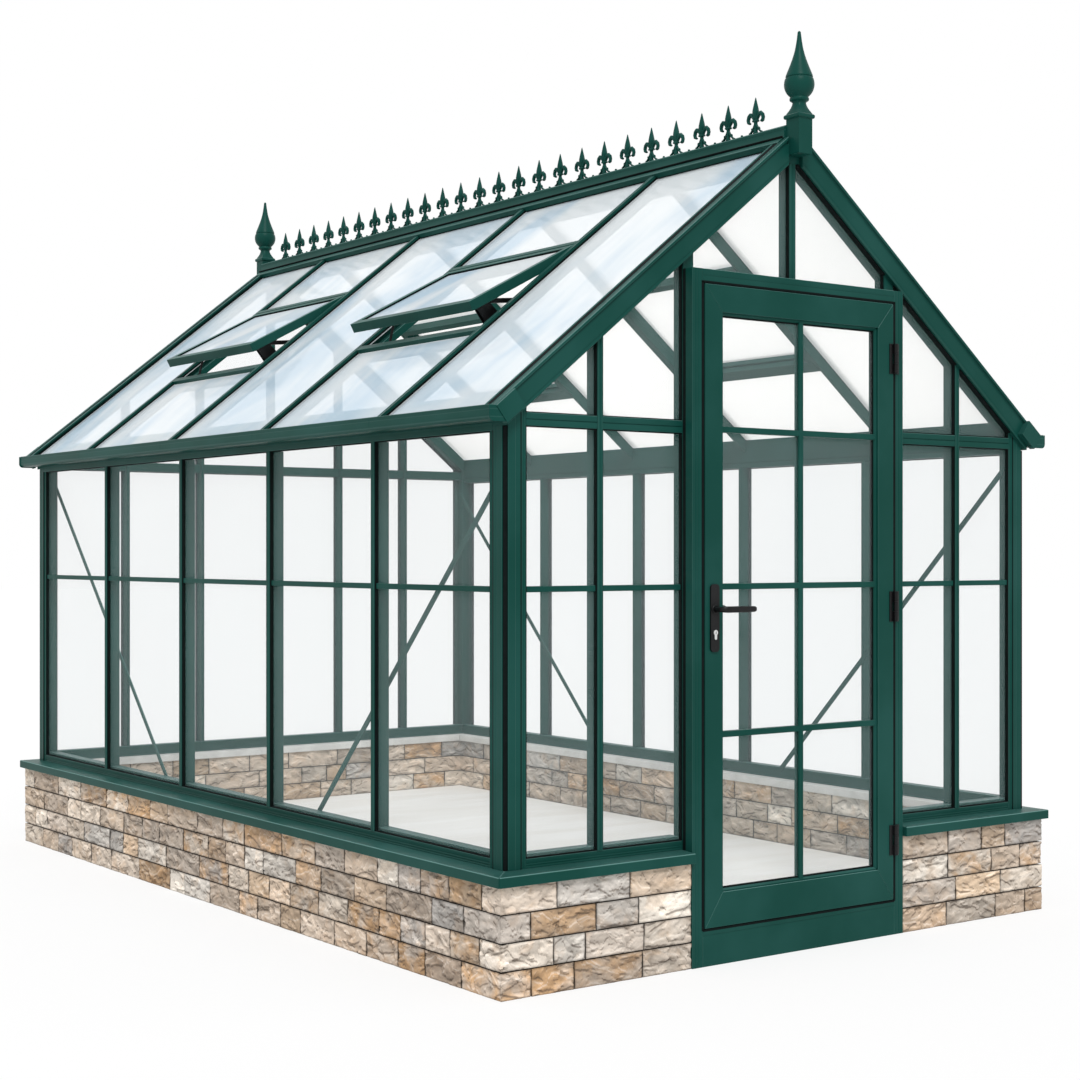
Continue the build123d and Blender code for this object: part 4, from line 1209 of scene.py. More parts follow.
    @staticmethod
    def _split_face(distance: float, height: float, shift: Vector) -> float:
        """Shapes the split face: tilted facets with chipped ledges between them.

        Args:
            distance: A place's distance along the path.
            height: The place's height.
            shift: The stone's own shift of the pattern.

        Returns:
            How far the face stands out there, from 0 to 1.
        """
        spot = Vector((distance * 17 + height * 4, height * 34 - distance * 2, 0)) + shift
        spot += noise.noise_vector(spot * 1.3) * 0.3
        gaps, seeds = noise.voronoi(spot)
        tilt = noise.noise_vector(seeds[0] * 3.7)
        facet = tilt.dot(spot - seeds[0]) * 1.3 + tilt.z * 0.6
        ledge = max(0.0, 1.0 - (gaps[1] - gaps[0]) / 0.16)
        swell = noise.noise(spot * 0.45)
        chip = noise.fractal(spot * 2.2, 0.8, 2.1, 4)
        return min(1.0, max(0.0, 0.70 + facet + swell * 0.2 + chip * 0.2 - ledge * 0.2))


# ---- layout of the frame
def falling(side: float, angle: float) -> tuple[Vector, Vector]:
    """Down and out directions of a plane that falls to one side at an angle."""
    cos, sin = math.cos(angle), math.sin(angle)
    return Vector((side * cos, 0, -sin)), Vector((side * sin, 0, cos))


@dataclass(frozen=True)
class Side:
    """A flat side of the greenhouse, with places given as along, up and depth behind it."""

    origin: Vector
    along: Vector
    up: Vector
    out: Vector

    def at(self, along: float, up: float, depth: float = 0.0) -> Vector:
        """A place in space."""
        return self.origin + self.along * along + self.up * up - self.out * depth

    def upright(self, middle: float, span: Span, outline: Outline, rounding: float = 0.0) -> Shape:
        """A bar that runs up, from an outline of along and depth."""
        run = self.up * (span[1] - span[0])
        return section_bar(outline, self.at(middle, span[0]), self.along, -self.out, run, rounding)

    def level(self, height: float, span: Span, outline: Outline, rounding: float = 0.0) -> Shape:
        """A bar that runs along, from an outline of up and depth."""
        run = self.along * (span[1] - span[0])
        return section_bar(outline, self.at(span[0], height), self.up, -self.out, run, rounding)

    def ring(self, corners: Outline, outline: Outline, slanted: Outline = ()) -> list[Shape]:
        """Lays strips just inside an opening.

        Args:
            corners: The opening's corners, anticlockwise, as along and up.
            outline: The strips' outline, as distance into the opening and depth.
            slanted: The outline of the strips that slope, where it differs.

        Returns:
            One strip for each side of the opening.
        """
        strips = []
        for first, second in zip(corners, [*corners[1:], corners[0]]):
            way = (Vector(second) - Vector(first)).normalized()
            inward = self.up * way.x - self.along * way.y
            start = self.at(*first)
            slopes = min(abs(way.x), abs(way.y)) > 0.1
            section = slanted if slanted and slopes else outline
            strips.append(section_bar(section, start, inward, -self.out, self.at(*second) - start))
        return strips


@dataclass(frozen=True)
class Layout:
    """Lines of the frame, read from the frame's boxes, and its shared sizes."""

    pitch: float = math.radians(38.5)
    cap_half: float = 10 * MM
    web_half: float = 4 * MM
    fin_half: float = 7 * MM
    door_bar_half: float = 13 * MM
    corner_cover: float = 78 * MM
    glass_front: float = 16 * MM
    glass_back: float = 20.5 * MM
    bar_depth: float = 60 * MM
    lip_height: float = 28 * MM
    bed_height: float = 15 * MM
    rail_height: float = 40 * MM
    rafter_drop: float = 70 * MM
    ridge_gap: float = 31 * MM

    @property
    def frame_x(self) -> float:
        """Outer face of the side walls."""
        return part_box("side_wall_posts")[1].x

    @property
    def frame_y(self) -> float:
        """Outer face of the gables."""
        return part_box("back_mullions")[1].y

    @property
    def cill_top(self) -> float:
        """Where the frame stands."""
        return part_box("bottom_rails")[0].z

    @property
    def head(self) -> float:
        """Underside of the eaves beams."""
        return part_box("eaves_beams")[0].z

    @property
    def transom(self) -> Span:
        """Foot and top of the gable transoms."""
        low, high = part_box("gable_transoms")
        return low.z, high.z

    @property
    def apex(self) -> float:
        """Where the two roof lines would meet."""
        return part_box("ridge_beam")[1].z + self.ridge_gap

    @property
    def jamb(self) -> Span:
        """Inner and outer side of the door jambs."""
        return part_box("door_head")[1].x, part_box("door_jambs")[1].x

    def bars(self, node: str) -> list[float]:
        """Where the bars of a wall stand along it, each once."""
        return middles(node, 1 if node == "side_wall_posts" else 0)

    def wall(self, direction: Vector) -> Side:
        """The side of the frame that faces a direction."""
        reach = self.frame_x if direction.x else self.frame_y
        return Side(direction * reach, Y if direction.x else X, Z, direction)

    def slope(self, side: float) -> Side:
        """A roof slope, whose up runs down from the apex; side is -1 on the left."""
        return Side(Z * self.apex, Y, *falling(side, self.pitch))

    def sloped(self, level: float) -> float:
        """A level distance, measured down the slope."""
        return level / math.cos(self.pitch)

    def under_rafter(self, x: float) -> float:
        """Height of the gable rafters' underside."""
        drop = abs(x) * math.tan(self.pitch) + self.sloped(self.rafter_drop)
        return min(self.apex - drop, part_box("ridge_beam")[0].z)

    def trimmed(self, shape: Shape) -> Shape:
        """Cuts a shape along the rafters' undersides.

        Args:
            shape: The shape, which is changed.

        Returns:
            The same shape.
        """
        for side in (-1, 1):
            slope = self.slope(side)
            cut(shape, slope.at(0, 0, self.rafter_drop), slope.out)
        return shape

    def bays(self, node: str) -> list[Span]:
        """Measures the clear widths between the bars of a wall.

        Args:
            node: The wall's bars.

        Returns:
            Where each bay starts and ends; the doorway is left out.
        """
        reach = (self.frame_y if node == "side_wall_posts" else self.frame_x) - self.corner_cover
        marks = self.bars(node)
        if node == "front_mullions":
            outer = self.jamb[1]
            left, right = marks[0], marks[-1]
            return [
                (-reach, left - self.cap_half),
                (left + self.cap_half, -outer),
                (outer, right - self.cap_half),
                (right + self.cap_half, reach),
            ]
        edges = [-reach - self.cap_half, *marks, reach + self.cap_half]
        return [(low + self.cap_half, high - self.cap_half) for low, high in zip(edges, edges[1:])]

    def bars_on_roof(self) -> list[float]:
        """Where the roof bars lie along the ridge."""
        return middles("roof_bars", 1)

    def gable_opening(self, span: Span, foot: float) -> list[Span]:
        """Draws a gable pane that reaches up to the rafters.

        Args:
            span: Its left and right side.
            foot: Its foot.

        Returns:
            Its corners, anticlockwise, as along and up.
        """
        low, high = span
        drop = self.sloped(self.rafter_drop)
        peak = (self.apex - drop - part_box("ridge_beam")[0].z) / math.tan(self.pitch)
        meet = (self.apex - drop - foot) / math.tan(self.pitch)
        low, high = max(low, -meet), min(high, meet)
        tops = [x for x in (high, peak, -peak, low) if low <= x <= high]
        corners = [(low, foot), (high, foot), *[(x, self.under_rafter(x)) for x in tops]]
        kept = [corners[0]]
        for corner in corners[1:]:
            if (Vector(corner) - Vector(kept[-1])).length > 1 * MM:
                kept.append(corner)
        if (Vector(kept[-1]) - Vector(kept[0])).length < 1 * MM:
            kept.pop()
        return kept


LAYOUT = Layout()
WALLS = {
    "side_wall_posts": (-X, X),
    "front_mullions": (-Y,),
    "back_mullions": (Y,),
}


def groove(
    shape: Shape,
    across: Vector,
    middle: float,
    out: Vector,
    face: float,
    half: float = 1.2 * MM,
    sink: float = 1.6 * MM,
    flat: float = 0.0,
) -> None:
    """Presses a groove into a flat face of a shape.

    Args:
        shape: The shape, which is changed.
        across: Unit vector in the face, square to the groove.
        middle: The groove's middle line, as a distance along across from the origin.
        out: The face's outward direction.
        face: The face's distance along out from the origin.
        half: Half of the groove's width at the face.
        sink: Its depth.
        flat: Half of the width of its flat floor.
    """
    for mark in sorted({middle - half, middle - flat, middle + flat, middle + half}):
        parts = shape.verts[:] + shape.edges[:] + shape.faces[:]
        bmesh.ops.bisect_plane(shape, geom=parts, dist=1e-6, plane_co=across * mark, plane_no=across)
    for corner in shape.verts:
        on_face = abs(corner.co.dot(out) - face) < 0.03 * MM
        if on_face and abs(corner.co.dot(across) - middle) <= flat + 0.01 * MM:
            corner.co -= out * sink


@dataclass(frozen=True)
class Member:
    """A frame node that keeps its own shape, with its edges rounded."""

    node: str
    body: Body
    slot: Slot
    finish: "Finish"
    rounding: float = 1.2 * MM

    def build(self) -> None:
        """Makes the rounded copy, which stands for the node."""
        piece = Piece(f"{self.node}_finished", self.body, self.slot, self.finish)
        piece.join(*softened(self.node, self.rounding)).done(self.node)


# ---- wall frame
@dataclass
class WallFrame:
    """Corner posts, glazing bars, bottom rails, transoms and beams of the four walls."""

    round_edge: float = 1.2 * MM
    transom_edge: float = 1 * MM
    notch: float = 14 * MM
    # depth of the black strip down each notch, a painted shadow
    notch_shadow_strip: float = 3.5 * MM
    stile: float = 18 * MM
    stile_setback: float = 3 * MM
    post_line: float = 39 * MM
    bead: float = 3 * MM
    bead_depths: Span = (-0.3 * MM, 4 * MM)
    cap_groove: tuple[Span, ...] = ((0.0, 1.5 * MM), (1.2 * MM, 0.0))
    cap_corner: tuple[Span, ...] = ((-2.2 * MM, 0.0), (-0.7 * MM, 0.7 * MM), (0.0, 2.2 * MM))
    fin_corner: float = 2 * MM
    rail_lines: tuple[float, ...] = (7 * MM, 14 * MM)
    rail_setback: float = 4 * MM
    transom_setback: float = 2 * MM
    beam_line: float = 20 * MM

    def build(self) -> None:
        """Makes every member of the walls."""
        self._corner_posts()
        for node, directions in WALLS.items():
            self._bars(node, directions)
        self._bottom_rails()
        self._transoms()
        self._eaves_beams()

    def _corner_posts(self) -> None:
        """Posts with grooved stiles, a black strip down each outer notch and black beads beside them,
        both painted shadow lines.
        """
        piece = painted("corner_posts", GASKET_AND_SHADE)
        reach = LAYOUT.frame_x, LAYOUT.frame_y
        heights = LAYOUT.cill_top, LAYOUT.under_rafter(reach[0]) - 1 * MM
        for shape in softened("corner_posts", self.round_edge):
            corner = half_of(shape, X), half_of(shape, Y)
            self._groove_post(shape, corner)
            piece.join(shape)
            ends = []
            for sign, face in zip(corner, reach):
                ends.append(sorted((sign * (face - self.notch_shadow_strip), sign * (face - self.notch))))
            # painted shadow: a black strip down the outer notch
            piece.join(slab(*zip(*ends, heights), 1 * MM), finish=1)
        # painted shadow lines: black beads just beyond the stiles
        bead = strip(self.bead / 2, self.bead_depths)
        for direction in (-X, X, -Y, Y):
            side = LAYOUT.wall(direction)
            edge = reach[1] if direction.x else reach[0]
            middle = edge - LAYOUT.corner_cover + self.stile + self.bead / 2
            top = LAYOUT.head if direction.x else LAYOUT.under_rafter(middle) - 2 * MM
            for way in (-1, 1):
                piece.join(side.upright(way * middle, (LAYOUT.cill_top, top), bead), finish=1)
        piece.done("corner_posts")

    def _groove_post(self, shape: Shape, corner: Span) -> None:
        """Presses the lines into both outer faces of a corner post.

        Args:
            shape: The post, which is changed.
            corner: The signs of its x and y.
        """
        reach = LAYOUT.frame_x, LAYOUT.frame_y
        for i, j in ((0, 1), (1, 0)):
            out, across = (X, Y)[i] * corner[i], (X, Y)[j]
            line = corner[j] * (reach[j] - LAYOUT.corner_cover + self.stile / 2)
            groove(shape, across, line, out, reach[i] - self.stile_setback, 1.4 * MM, 2.2 * MM)
            front = corner[j] * (reach[j] - self.post_line)
            groove(shape, across, front, out, reach[i], 1 * MM, 1 * MM)

    def _bars(self, node: str, directions: Iterable[Vector]) -> None:
        """Makes glazing bars: grooved cap outside, web between the panes, fin inside.

        Args:
            node: The frame node that they stand for.
            directions: The ways that their walls face.
        """
        piece = painted(node)
        foot = LAYOUT.cill_top
        is_side_wall = node == "side_wall_posts"
        head = LAYOUT.head if is_side_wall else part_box("ridge_beam")[0].z
        web_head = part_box(node)[1].z if is_side_wall else head
        web = strip(LAYOUT.web_half, (LAYOUT.glass_front, LAYOUT.glass_back))
        for direction in directions:
            side = LAYOUT.wall(direction)
            for middle in LAYOUT.bars(node):
                over_door = node == "front_mullions" and abs(middle) < LAYOUT.door_bar_half
                half = LAYOUT.door_bar_half if over_door else LAYOUT.cap_half
                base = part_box("door_head")[1].z if over_door else None
                layers = (
                    (self._cap(half), foot + LAYOUT.lip_height, head),
                    (web, foot + LAYOUT.bed_height, web_head),
                    (self._fin(), foot + LAYOUT.rail_height, head),
                )
                for outline, low, high in layers:
                    bar = side.upright(middle, (base or low, high), outline)
                    piece.join(bar if is_side_wall else LAYOUT.trimmed(bar))
        piece.done(node)

    def _cap(self, half: float) -> list[Span]:
        """Outline of a cap with rounded edges and a fine groove down its middle."""
        edge = [(half + along, depth) for along, depth in self.cap_corner]
        return mirrored([*self.cap_groove, *edge, (half, LAYOUT.glass_front)])

    def _fin(self) -> list[Span]:
        """Outline of the inner fin, its inner corners cut back."""
        half, deep, cut_back = LAYOUT.fin_half, LAYOUT.bar_depth, self.fin_corner
        return mirrored([(half, LAYOUT.glass_back), (half, deep - cut_back), (half - cut_back, deep)])

    def _bottom_rails(self) -> None:
        """Rails with two fine grooves along their outer lip."""
        shapes = softened("bottom_rails", self.round_edge)
        for shape in shapes:
            low, high = limits(shape)
            along_x = high.x - low.x > high.y - low.y
            axis, reach = (Y, LAYOUT.frame_y) if along_x else (X, LAYOUT.frame_x)
            out = axis * half_of(shape, axis)
            for line in self.rail_lines:
                face = reach - self.rail_setback
                groove(shape, Z, low.z + line, out, face, 1.5 * MM, 2.2 * MM)
        painted("bottom_rails").join(*shapes).done("bottom_rails")

    def _transoms(self) -> None:
        """Transoms with a groove along the middle of their outer flange."""
        shapes = softened("gable_transoms", self.transom_edge)
        middle = sum(LAYOUT.transom) / 2
        face = LAYOUT.frame_y - self.transom_setback
        for shape in shapes:
            groove(shape, Z, middle, Y * half_of(shape, Y), face, 2 * MM, 3 * MM, 1 * MM)
        painted("gable_transoms").join(*shapes).done("gable_transoms")

    def _eaves_beams(self) -> None:
        """Beams with a groove along their inner face."""
        shapes = softened("eaves_beams", self.round_edge)
        for shape in shapes:
            low, high = limits(shape)
            inward = X * -half_of(shape, X)
            face = -min(abs(low.x), abs(high.x))
            groove(shape, Z, low.z + self.beam_line, inward, face, 2 * MM, 3 * MM, 1 * MM)
        painted("eaves_beams").join(*shapes).done("eaves_beams")


@dataclass
class WallGlazing:
    """Black gaskets round the wall panes, also painting shade on the bars' sides and under the rafters,
    and the slender bars across them.
    """

    gasket: float = 3.2 * MM
    # the gaskets reach back beside the caps, whose sides they paint black as shade
    gasket_and_shade_depths: Span = (4 * MM, 16 * MM)
    # the verge gaskets reach out past the wall, a painted shadow under the rafters
    verge_shadow_depths: Span = (-6 * MM, 16 * MM)
    bar_level: float = 1169 * MM
    bar_half: float = 9 * MM
    bar_depths: Span = (8 * MM, 16 * MM)
    bar_edge: float = 2.4 * MM
    inner_half: float = 8 * MM
    inner_depths: Span = (20.2 * MM, 29 * MM)
    inner_edge: float = 2 * MM

    def build(self) -> None:
        """Makes the gaskets and the bars."""
        gaskets = Piece("wall_gaskets_and_shade", Body.BUILDING, Slot.GREEN, GASKET_AND_SHADE)
        bars = Piece("wall_cross_bars", Body.BUILDING, Slot.GREEN, GREEN)
        for node, directions in WALLS.items():
            for direction in directions:
                side = LAYOUT.wall(direction)
                head = LAYOUT.head if direction.x else LAYOUT.transom[0]
                for span in LAYOUT.bays(node):
                    opening = rectangle(span, (LAYOUT.cill_top + LAYOUT.lip_height, head))
                    gaskets.join(*side.ring(opening, self._outline(self.gasket_and_shade_depths)))
                    if node != "side_wall_posts":
                        gaskets.join(*self._gable_seals(side, span, LAYOUT.transom[1]))
                    if direction in (-X, -Y):
                        bars.join(*self._cross_bar(side, span))
        inner, foot = LAYOUT.jamb[0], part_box("door_head")[1].z
        for span in ((-inner, -LAYOUT.door_bar_half), (LAYOUT.door_bar_half, inner)):
            gaskets.join(*self._gable_seals(LAYOUT.wall(-Y), span, foot))
        gaskets.done()
        bars.done()

    def _outline(self, depths: Span) -> list[Span]:
        """Outline of a gasket, as distance into the opening and depth."""
        return rectangle((0, self.gasket), depths)

    def _gable_seals(self, side: Side, span: Span, foot: float) -> list[Shape]:
        """Gaskets of a pane that reaches up to the rafters; along the verge they reach out as painted
        shadow under the rafters.
        """
        corners = LAYOUT.gable_opening(span, foot)
        return side.ring(corners, self._outline(self.gasket_and_shade_depths), self._outline(self.verge_shadow_depths))

    def _cross_bar(self, side: Side, span: Span) -> list[Shape]:
        """Makes the bar across one bay.

        Args:
            side: The wall.
            span: The bay.

        Returns:
            Its outer and its inner half, one on each face of the pane.
        """
        outline = strip(self.bar_half, self.bar_depths)
        outer = side.level(self.bar_level, span, outline, self.bar_edge)
        reach = LAYOUT.cap_half - LAYOUT.fin_half
        outline = strip(self.inner_half, self.inner_depths)
        inner_span = (span[0] - reach, span[1] + reach)
        return [outer, side.level(self.bar_level, inner_span, outline, self.inner_edge)]


# ---- roof
@dataclass
class RoofFrame:
    """Rafters, roof bars, ridge and gutters, with the seals that bed the roof panes."""

    verge_out: float = 15 * MM
    channel_half: float = 14 * MM
    channel_setback: float = 13 * MM
    channel_sink: float = 9 * MM
    face_lines: tuple[float, ...] = (9 * MM, 60 * MM)
    verge_rise: float = 4 * MM
    # beads along the verge, which carry the paint's painted highlight
    highlight_bead_radius: float = 0.9 * MM
    highlight_bead_offsets: tuple[float, ...] = (-14 * MM, 14 * MM, 34 * MM)
    foot_plate: tuple[Span, Span] = ((-8 * MM, 14 * MM), (-3.5 * MM, 58 * MM))
    foot_plate_run: Span = (88 * MM, 6 * MM)
    cap_top: float = 38.3 * MM
    bar_foot: float = 1190 * MM
    seal: float = 3 * MM
    pale_strip: float = 8 * MM
    seal_depths: Span = (9 * MM, 16 * MM)
    pale_strip_depths: Span = (15 * MM, 16.2 * MM)
    pane_edge: float = 38 * MM
    cheek_out: float = 8.5 * MM
    cheek_seal: tuple[Span, Span] = ((0.0, 4 * MM), (-14 * MM, 15.8 * MM))
    wing_strip: tuple[Span, Span] = ((-6 * MM, 0.0), (-4.2 * MM, 13 * MM))
    wing_seal: tuple[Span, Span] = ((-7 * MM, 1.5 * MM), (12.5 * MM, 15.8 * MM))
    ridge_line: float = 12 * MM
    gutter_out: float = 72 * MM
    gutter_lines: tuple[float, ...] = (12 * MM, 34 * MM)
    lip_radius: float = 3.5 * MM

    def build(self) -> None:
        """Makes every member of the roof."""
        self._rafters()
        self._bars()
        self._seals()
        self._ridge()
        self._gutters()

    @property
    def run(self) -> Span:
        """Where the roof bars start and end, down the slope."""
        return LAYOUT.sloped(self.cap_top), LAYOUT.sloped(self.bar_foot)

    def _rafters(self) -> None:
        """Gable rafters with a black strip in the verge's channel as painted shade, and a squared foot.
        """
        piece = painted("gable_rafters", GASKET_AND_SHADE)
        face = LAYOUT.frame_y + self.verge_out
        middle, half = LAYOUT.frame_y - self.channel_setback, self.channel_half
        for shape in softened("gable_rafters", 1.4 * MM):
            slope, end = LAYOUT.slope(half_of(shape, X)), half_of(shape, Y)
            top = slope.at(0, 0, -self.verge_rise).dot(slope.out)
            groove(shape, Y, end * middle, slope.out, top, half, self.channel_sink, half - 1.5 * MM)
            for depth in self.face_lines:
                level = slope.at(0, 0, depth).dot(slope.out)
                groove(shape, slope.out, level, Y * end, face, 1.8 * MM, 2.6 * MM)
            piece.join(shape)
        for side in (-1, 1):
            for end in (-1, 1):
                self._verge(piece, LAYOUT.slope(side), end, middle)
        piece.done("gable_rafters")

    def _verge(self, piece: Piece, slope: Side, end: int, middle: float) -> None:
        """Lays the black strip of painted shade in a verge's channel, the beads beside it, whose
        slender faces get a painted highlight, and the plate at its foot.

        Args:
            piece: The rafters' piece.
            slope: The roof slope.
            end: -1 at the door and 1 at the back.
            middle: Distance of the channel from the middle of the ridge.
        """
        head, foot = self.run
        # painted shade: a black strip on the channel's floor
        half, floor = self.channel_half - 2 * MM, self.channel_sink - self.verge_rise + 1 * MM
        outline = strip(half, (0.3 * MM - self.verge_rise, floor))
        piece.join(slope.upright(end * middle, (head, foot - 3 * MM), outline), finish=1)
        for offset in self.highlight_bead_offsets:
            start = slope.at(end * (middle + offset), head + 30 * MM, -self.verge_rise)
            piece.join(rod(start, start + slope.up * (foot - head - 34 * MM), self.highlight_bead_radius, 6))
        plate = [(end * along, depth) for along, depth in rectangle(*self.foot_plate)]
        run = [foot - above for above in self.foot_plate_run]
        face = LAYOUT.frame_y + self.verge_out + 8 * MM
        piece.join(slope.upright(end * face, run, plate, 1.2 * MM))

    def _bars(self) -> None:
        """Roof bars with a fine groove down their caps."""
        shapes = softened("roof_bars", 1.6 * MM)
        for shape in shapes:
            low, high = limits(shape)
            slope = LAYOUT.slope(half_of(shape, X))
            top = slope.at(0, 0).dot(slope.out)
            groove(shape, Y, (low.y + high.y) / 2, slope.out, top, 1.4 * MM, 1.6 * MM)
        painted("roof_bars").join(*shapes).done("roof_bars")

    def _seals(self) -> None:
        """Black seals beside the roof bars and rafters, with a pale grey strip beyond them."""
        piece = Piece("roof_seals", Body.BUILDING, Slot.GREEN, GASKET_AND_SHADE, PALE_STRIP)
        head, foot = self.run
        edge = LAYOUT.frame_y - self.pane_edge
        lines = [(y, LAYOUT.cap_half, (-1, 1)) for y in LAYOUT.bars_on_roof()]
        lines += [(-edge, 0.0, (1,)), (edge, 0.0, (-1,))]
        layers = ((self.seal, self.seal_depths), (self.seal + self.pale_strip, self.pale_strip_depths))
        for side in (-1, 1):
            slope = LAYOUT.slope(side)
            for middle, half, ways in lines:
                for way in ways:
                    for finish, (width, depths) in enumerate(layers):
                        across = sorted((way * half, way * (half + width)))
                        run = (head, foot - 14 * MM)
                        bar = slope.upright(middle, run, rectangle(across, depths))
                        piece.join(bar, finish=finish)
        piece.done()

    def _ridge(self) -> None:
        """Ridge beam, and the ridge cap with a line along each cheek and a seal at its foot."""
        painted("ridge_beam").join(*softened("ridge_beam")).done("ridge_beam")
        piece = painted("ridge_cap", GASKET_AND_SHADE)
        low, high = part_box("ridge_cap")
        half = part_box("ridge_beam")[1].x + self.cheek_out
        for shape in softened("ridge_cap", 1.4 * MM):
            for side in (-1, 1):
                groove(shape, Z, high.z - self.ridge_line, X * side, half, 1.2 * MM, 1.4 * MM)
            piece.join(shape)
        cheek, wing = LAYOUT.sloped(half), LAYOUT.sloped(high.x) - 6 * MM
        strips = ((cheek, self.cheek_seal, 1), (wing, self.wing_strip, 0), (wing, self.wing_seal, 1))
        for side in (-1, 1):
            for start, section, finish in strips:
                bar = LAYOUT.slope(side).level(start, (low.y, high.y), rectangle(*section))
                piece.join(bar, finish=finish)
        piece.done("ridge_cap")

    def _gutters(self) -> None:
        """Gutters with a rolled lip, fine lines along their face and a seam at each roof bar."""
        piece = painted("gutters")
        low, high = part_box("gutters")
        reach = LAYOUT.frame_x + self.gutter_out
        for shape in softened("gutters", 0.8 * MM):
            out = X * half_of(shape, X)
            for line in self.gutter_lines:
                groove(shape, Z, high.z - line, out, reach, 1.2 * MM, 1.2 * MM)
            for seam in LAYOUT.bars_on_roof():
                groove(shape, Y, seam, out, reach, 1 * MM, 1.2 * MM)
            piece.join(shape)
        for side in (-1, 1):
            start = Vector((side * (reach - 2.5 * MM), low.y + 4 * MM, high.z - 2 * MM))
            end = Vector((start.x, high.y - 4 * MM, start.z))
            piece.join(rod(start, end, self.lip_radius))
        piece.done("gutters")


@dataclass
class RidgeOrnament:
    """Fleurs along the ridge and a turned finial over each gable.

    A fleur's outlines are in its own units, which fleur_scale turns into metres. The turned ones
    are rows of radius and height; the scrolls are rows of y, z and half width, for its right side.
    """

    pitch: float = 135 * MM
    band: float = 12 * MM
    thickness: float = 8 * MM
    knob: float = 4 * MM
    fleur_scale: Triple = (1.15 * MM, 0.9 * MM, 1.1 * MM)
    spear: tuple[Span, ...] = (
        (0, 40), (5, 42), (8.5, 48), (12.6, 60), (12.2, 67), (9.6, 78), (5, 94), (2.2, 104), (0, 108),
    )
    stem: tuple[Span, ...] = ((0, -1), (11, -1), (8.5, 4), (6.4, 14), (6.8, 30), (9, 38), (0, 44))
    collar: tuple[Triple, Triple] = ((-6.5, -12.5, 33.5), (6.5, 12.5, 39.5))
    petal: tuple[Triple, ...] = (
        (3, 35, 4), (9.5, 46.5, 6), (18, 55.5, 7), (28, 57.5, 7),
        (36.5, 52, 6.4), (40, 43, 5.6), (37.5, 35, 4.8), (31.5, 32.5, 3.6),
    )
    claw: tuple[Triple, ...] = (
        (3, 27, 3.6), (9, 18.5, 3.4), (17, 9.5, 3.2), (25.5, 3.4, 3), (33, 1.6, 2),
    )
    curl: tuple[Triple, ...] = ((10, 9, 2), (13, 14.5, 2.4), (18, 15.5, 2.2), (20, 11, 1.8))
    ball_radius: float = 49.0
    ball_level: float = 226.0

    def build(self) -> None:
        """Makes the cresting and the finials."""
        low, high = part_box("ridge_cresting")
        piece = Piece("ridge_fleurs", Body.BUILDING, Slot.GREEN, GREEN)
        foot = low.z + self.band
        half = self.thickness / 2
        piece.join(slab((-half, low.y, low.z), (half, high.y, foot), 1.5 * MM))
        count = int((high.y - low.y) / self.pitch)
        count -= 1 - count % 2
        for index in range(count):
            place = Vector((0, (index - (count - 1) / 2) * self.pitch, foot))
            piece.join(*self._fleur(place))
            if index < count - 1:
                knob = place + Y * (self.pitch / 2)
                piece.join(rod(knob - Z * 2 * MM, knob + Z * 5 * MM, self.knob, 8))
        piece.done("ridge_cresting")
        self._finials()

    def _fleur(self, place: Vector) -> list[Shape]:
        """Makes one fleur: ridged spearhead, two curling petals, collar, stem and feet.

        Args:
            place: The middle of its foot.

        Returns:
            Its shapes.
        """
        flat = Matrix.Diagonal((0.8, 1, 1, 1))
        shapes = [moved(turned(outline, 8), flat) for outline in (self.spear, self.stem)]
        shapes.append(slab(*self.collar, 2.0))
        for path, thickness in ((self.petal, 13.0), (self.claw, 9.0), (self.curl, 9.0)):
            for side in (-1, 1):
                shapes.append(ribbon([(side * y, z, half) for y, z, half in path], thickness))
        placed = Matrix.Translation(place) @ Matrix.Diagonal((*self.fleur_scale, 1))
        return [moved(shape, placed) for shape in shapes]

    def _finial_outline(self) -> list[Triple]:
        """Draws a finial: a square post that turns round at the neck, a ball and a spire.

        Returns:
            Rows of height, radius and squareness, in millimetres.
        """
        outline = [(0, 27, 1), (1, 28.6, 1), (3, 29.5, 1), (113.5, 29.5, 1), (114.5, 30.5, 1)]
        outline += [(115.2, 33, 1), (118, 35.1, 1), (122, 35.5, 1), (126, 35.1, 1), (128.4, 33, 1)]
        outline += [(130, 30.6, 0.95), (136, 28.2, 0.85), (143, 25.6, 0.65), (151, 23.4, 0.4)]
        outline += [(159, 22, 0.18), (166, 21.6, 0), (170, 23.6, 0), (172, 27.5, 0)]
        outline += [(174.5, 30.6, 0), (178, 31.6, 0), (182, 30.8, 0), (185, 28.6, 0)]
        for degrees in (-52, -44, -36, -27, -18, -9, 0, 9, 16, 21):
            sin, cos = math.sin(math.radians(degrees)), math.cos(math.radians(degrees))
            outline.append((self.ball_level + self.ball_radius * sin, self.ball_radius * cos, 0))
        outline += [(244.6, 44.6, 0), (245.4, 42.6, 0), (248.6, 42.4, 0), (249.6, 44, 0)]
        outline += [(252, 43.9, 0), (258, 42, 0), (268, 38, 0), (280, 33, 0), (292, 28.4, 0)]
        outline += [(306, 23.2, 0), (320, 18.6, 0), (336, 14.2, 0), (352, 11, 0), (370, 8.2, 0)]
        return outline + [(388, 6, 0), (395, 5.2, 0), (398, 2.6, 0)]

    def _finials(self) -> None:
        """A finial at each end of the ridge."""
        piece = Piece("turned_finials", Body.BUILDING, Slot.GREEN, GREEN)
        low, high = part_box("finials")
        outline = self._finial_outline()
        for side in (-1, 1):
            spot = Vector((0, side * (high.y + low.x), low.z))
            rings = [
                Matrix.Translation(spot + Z * (height * MM)) @ Matrix.Diagonal((r * MM, r * MM, 1, 1))
                for height, r, _ in outline
            ]
            piece.join(lofted(rings, 48, [push for _, _, push in outline]))
        piece.done("finials", crease=28)


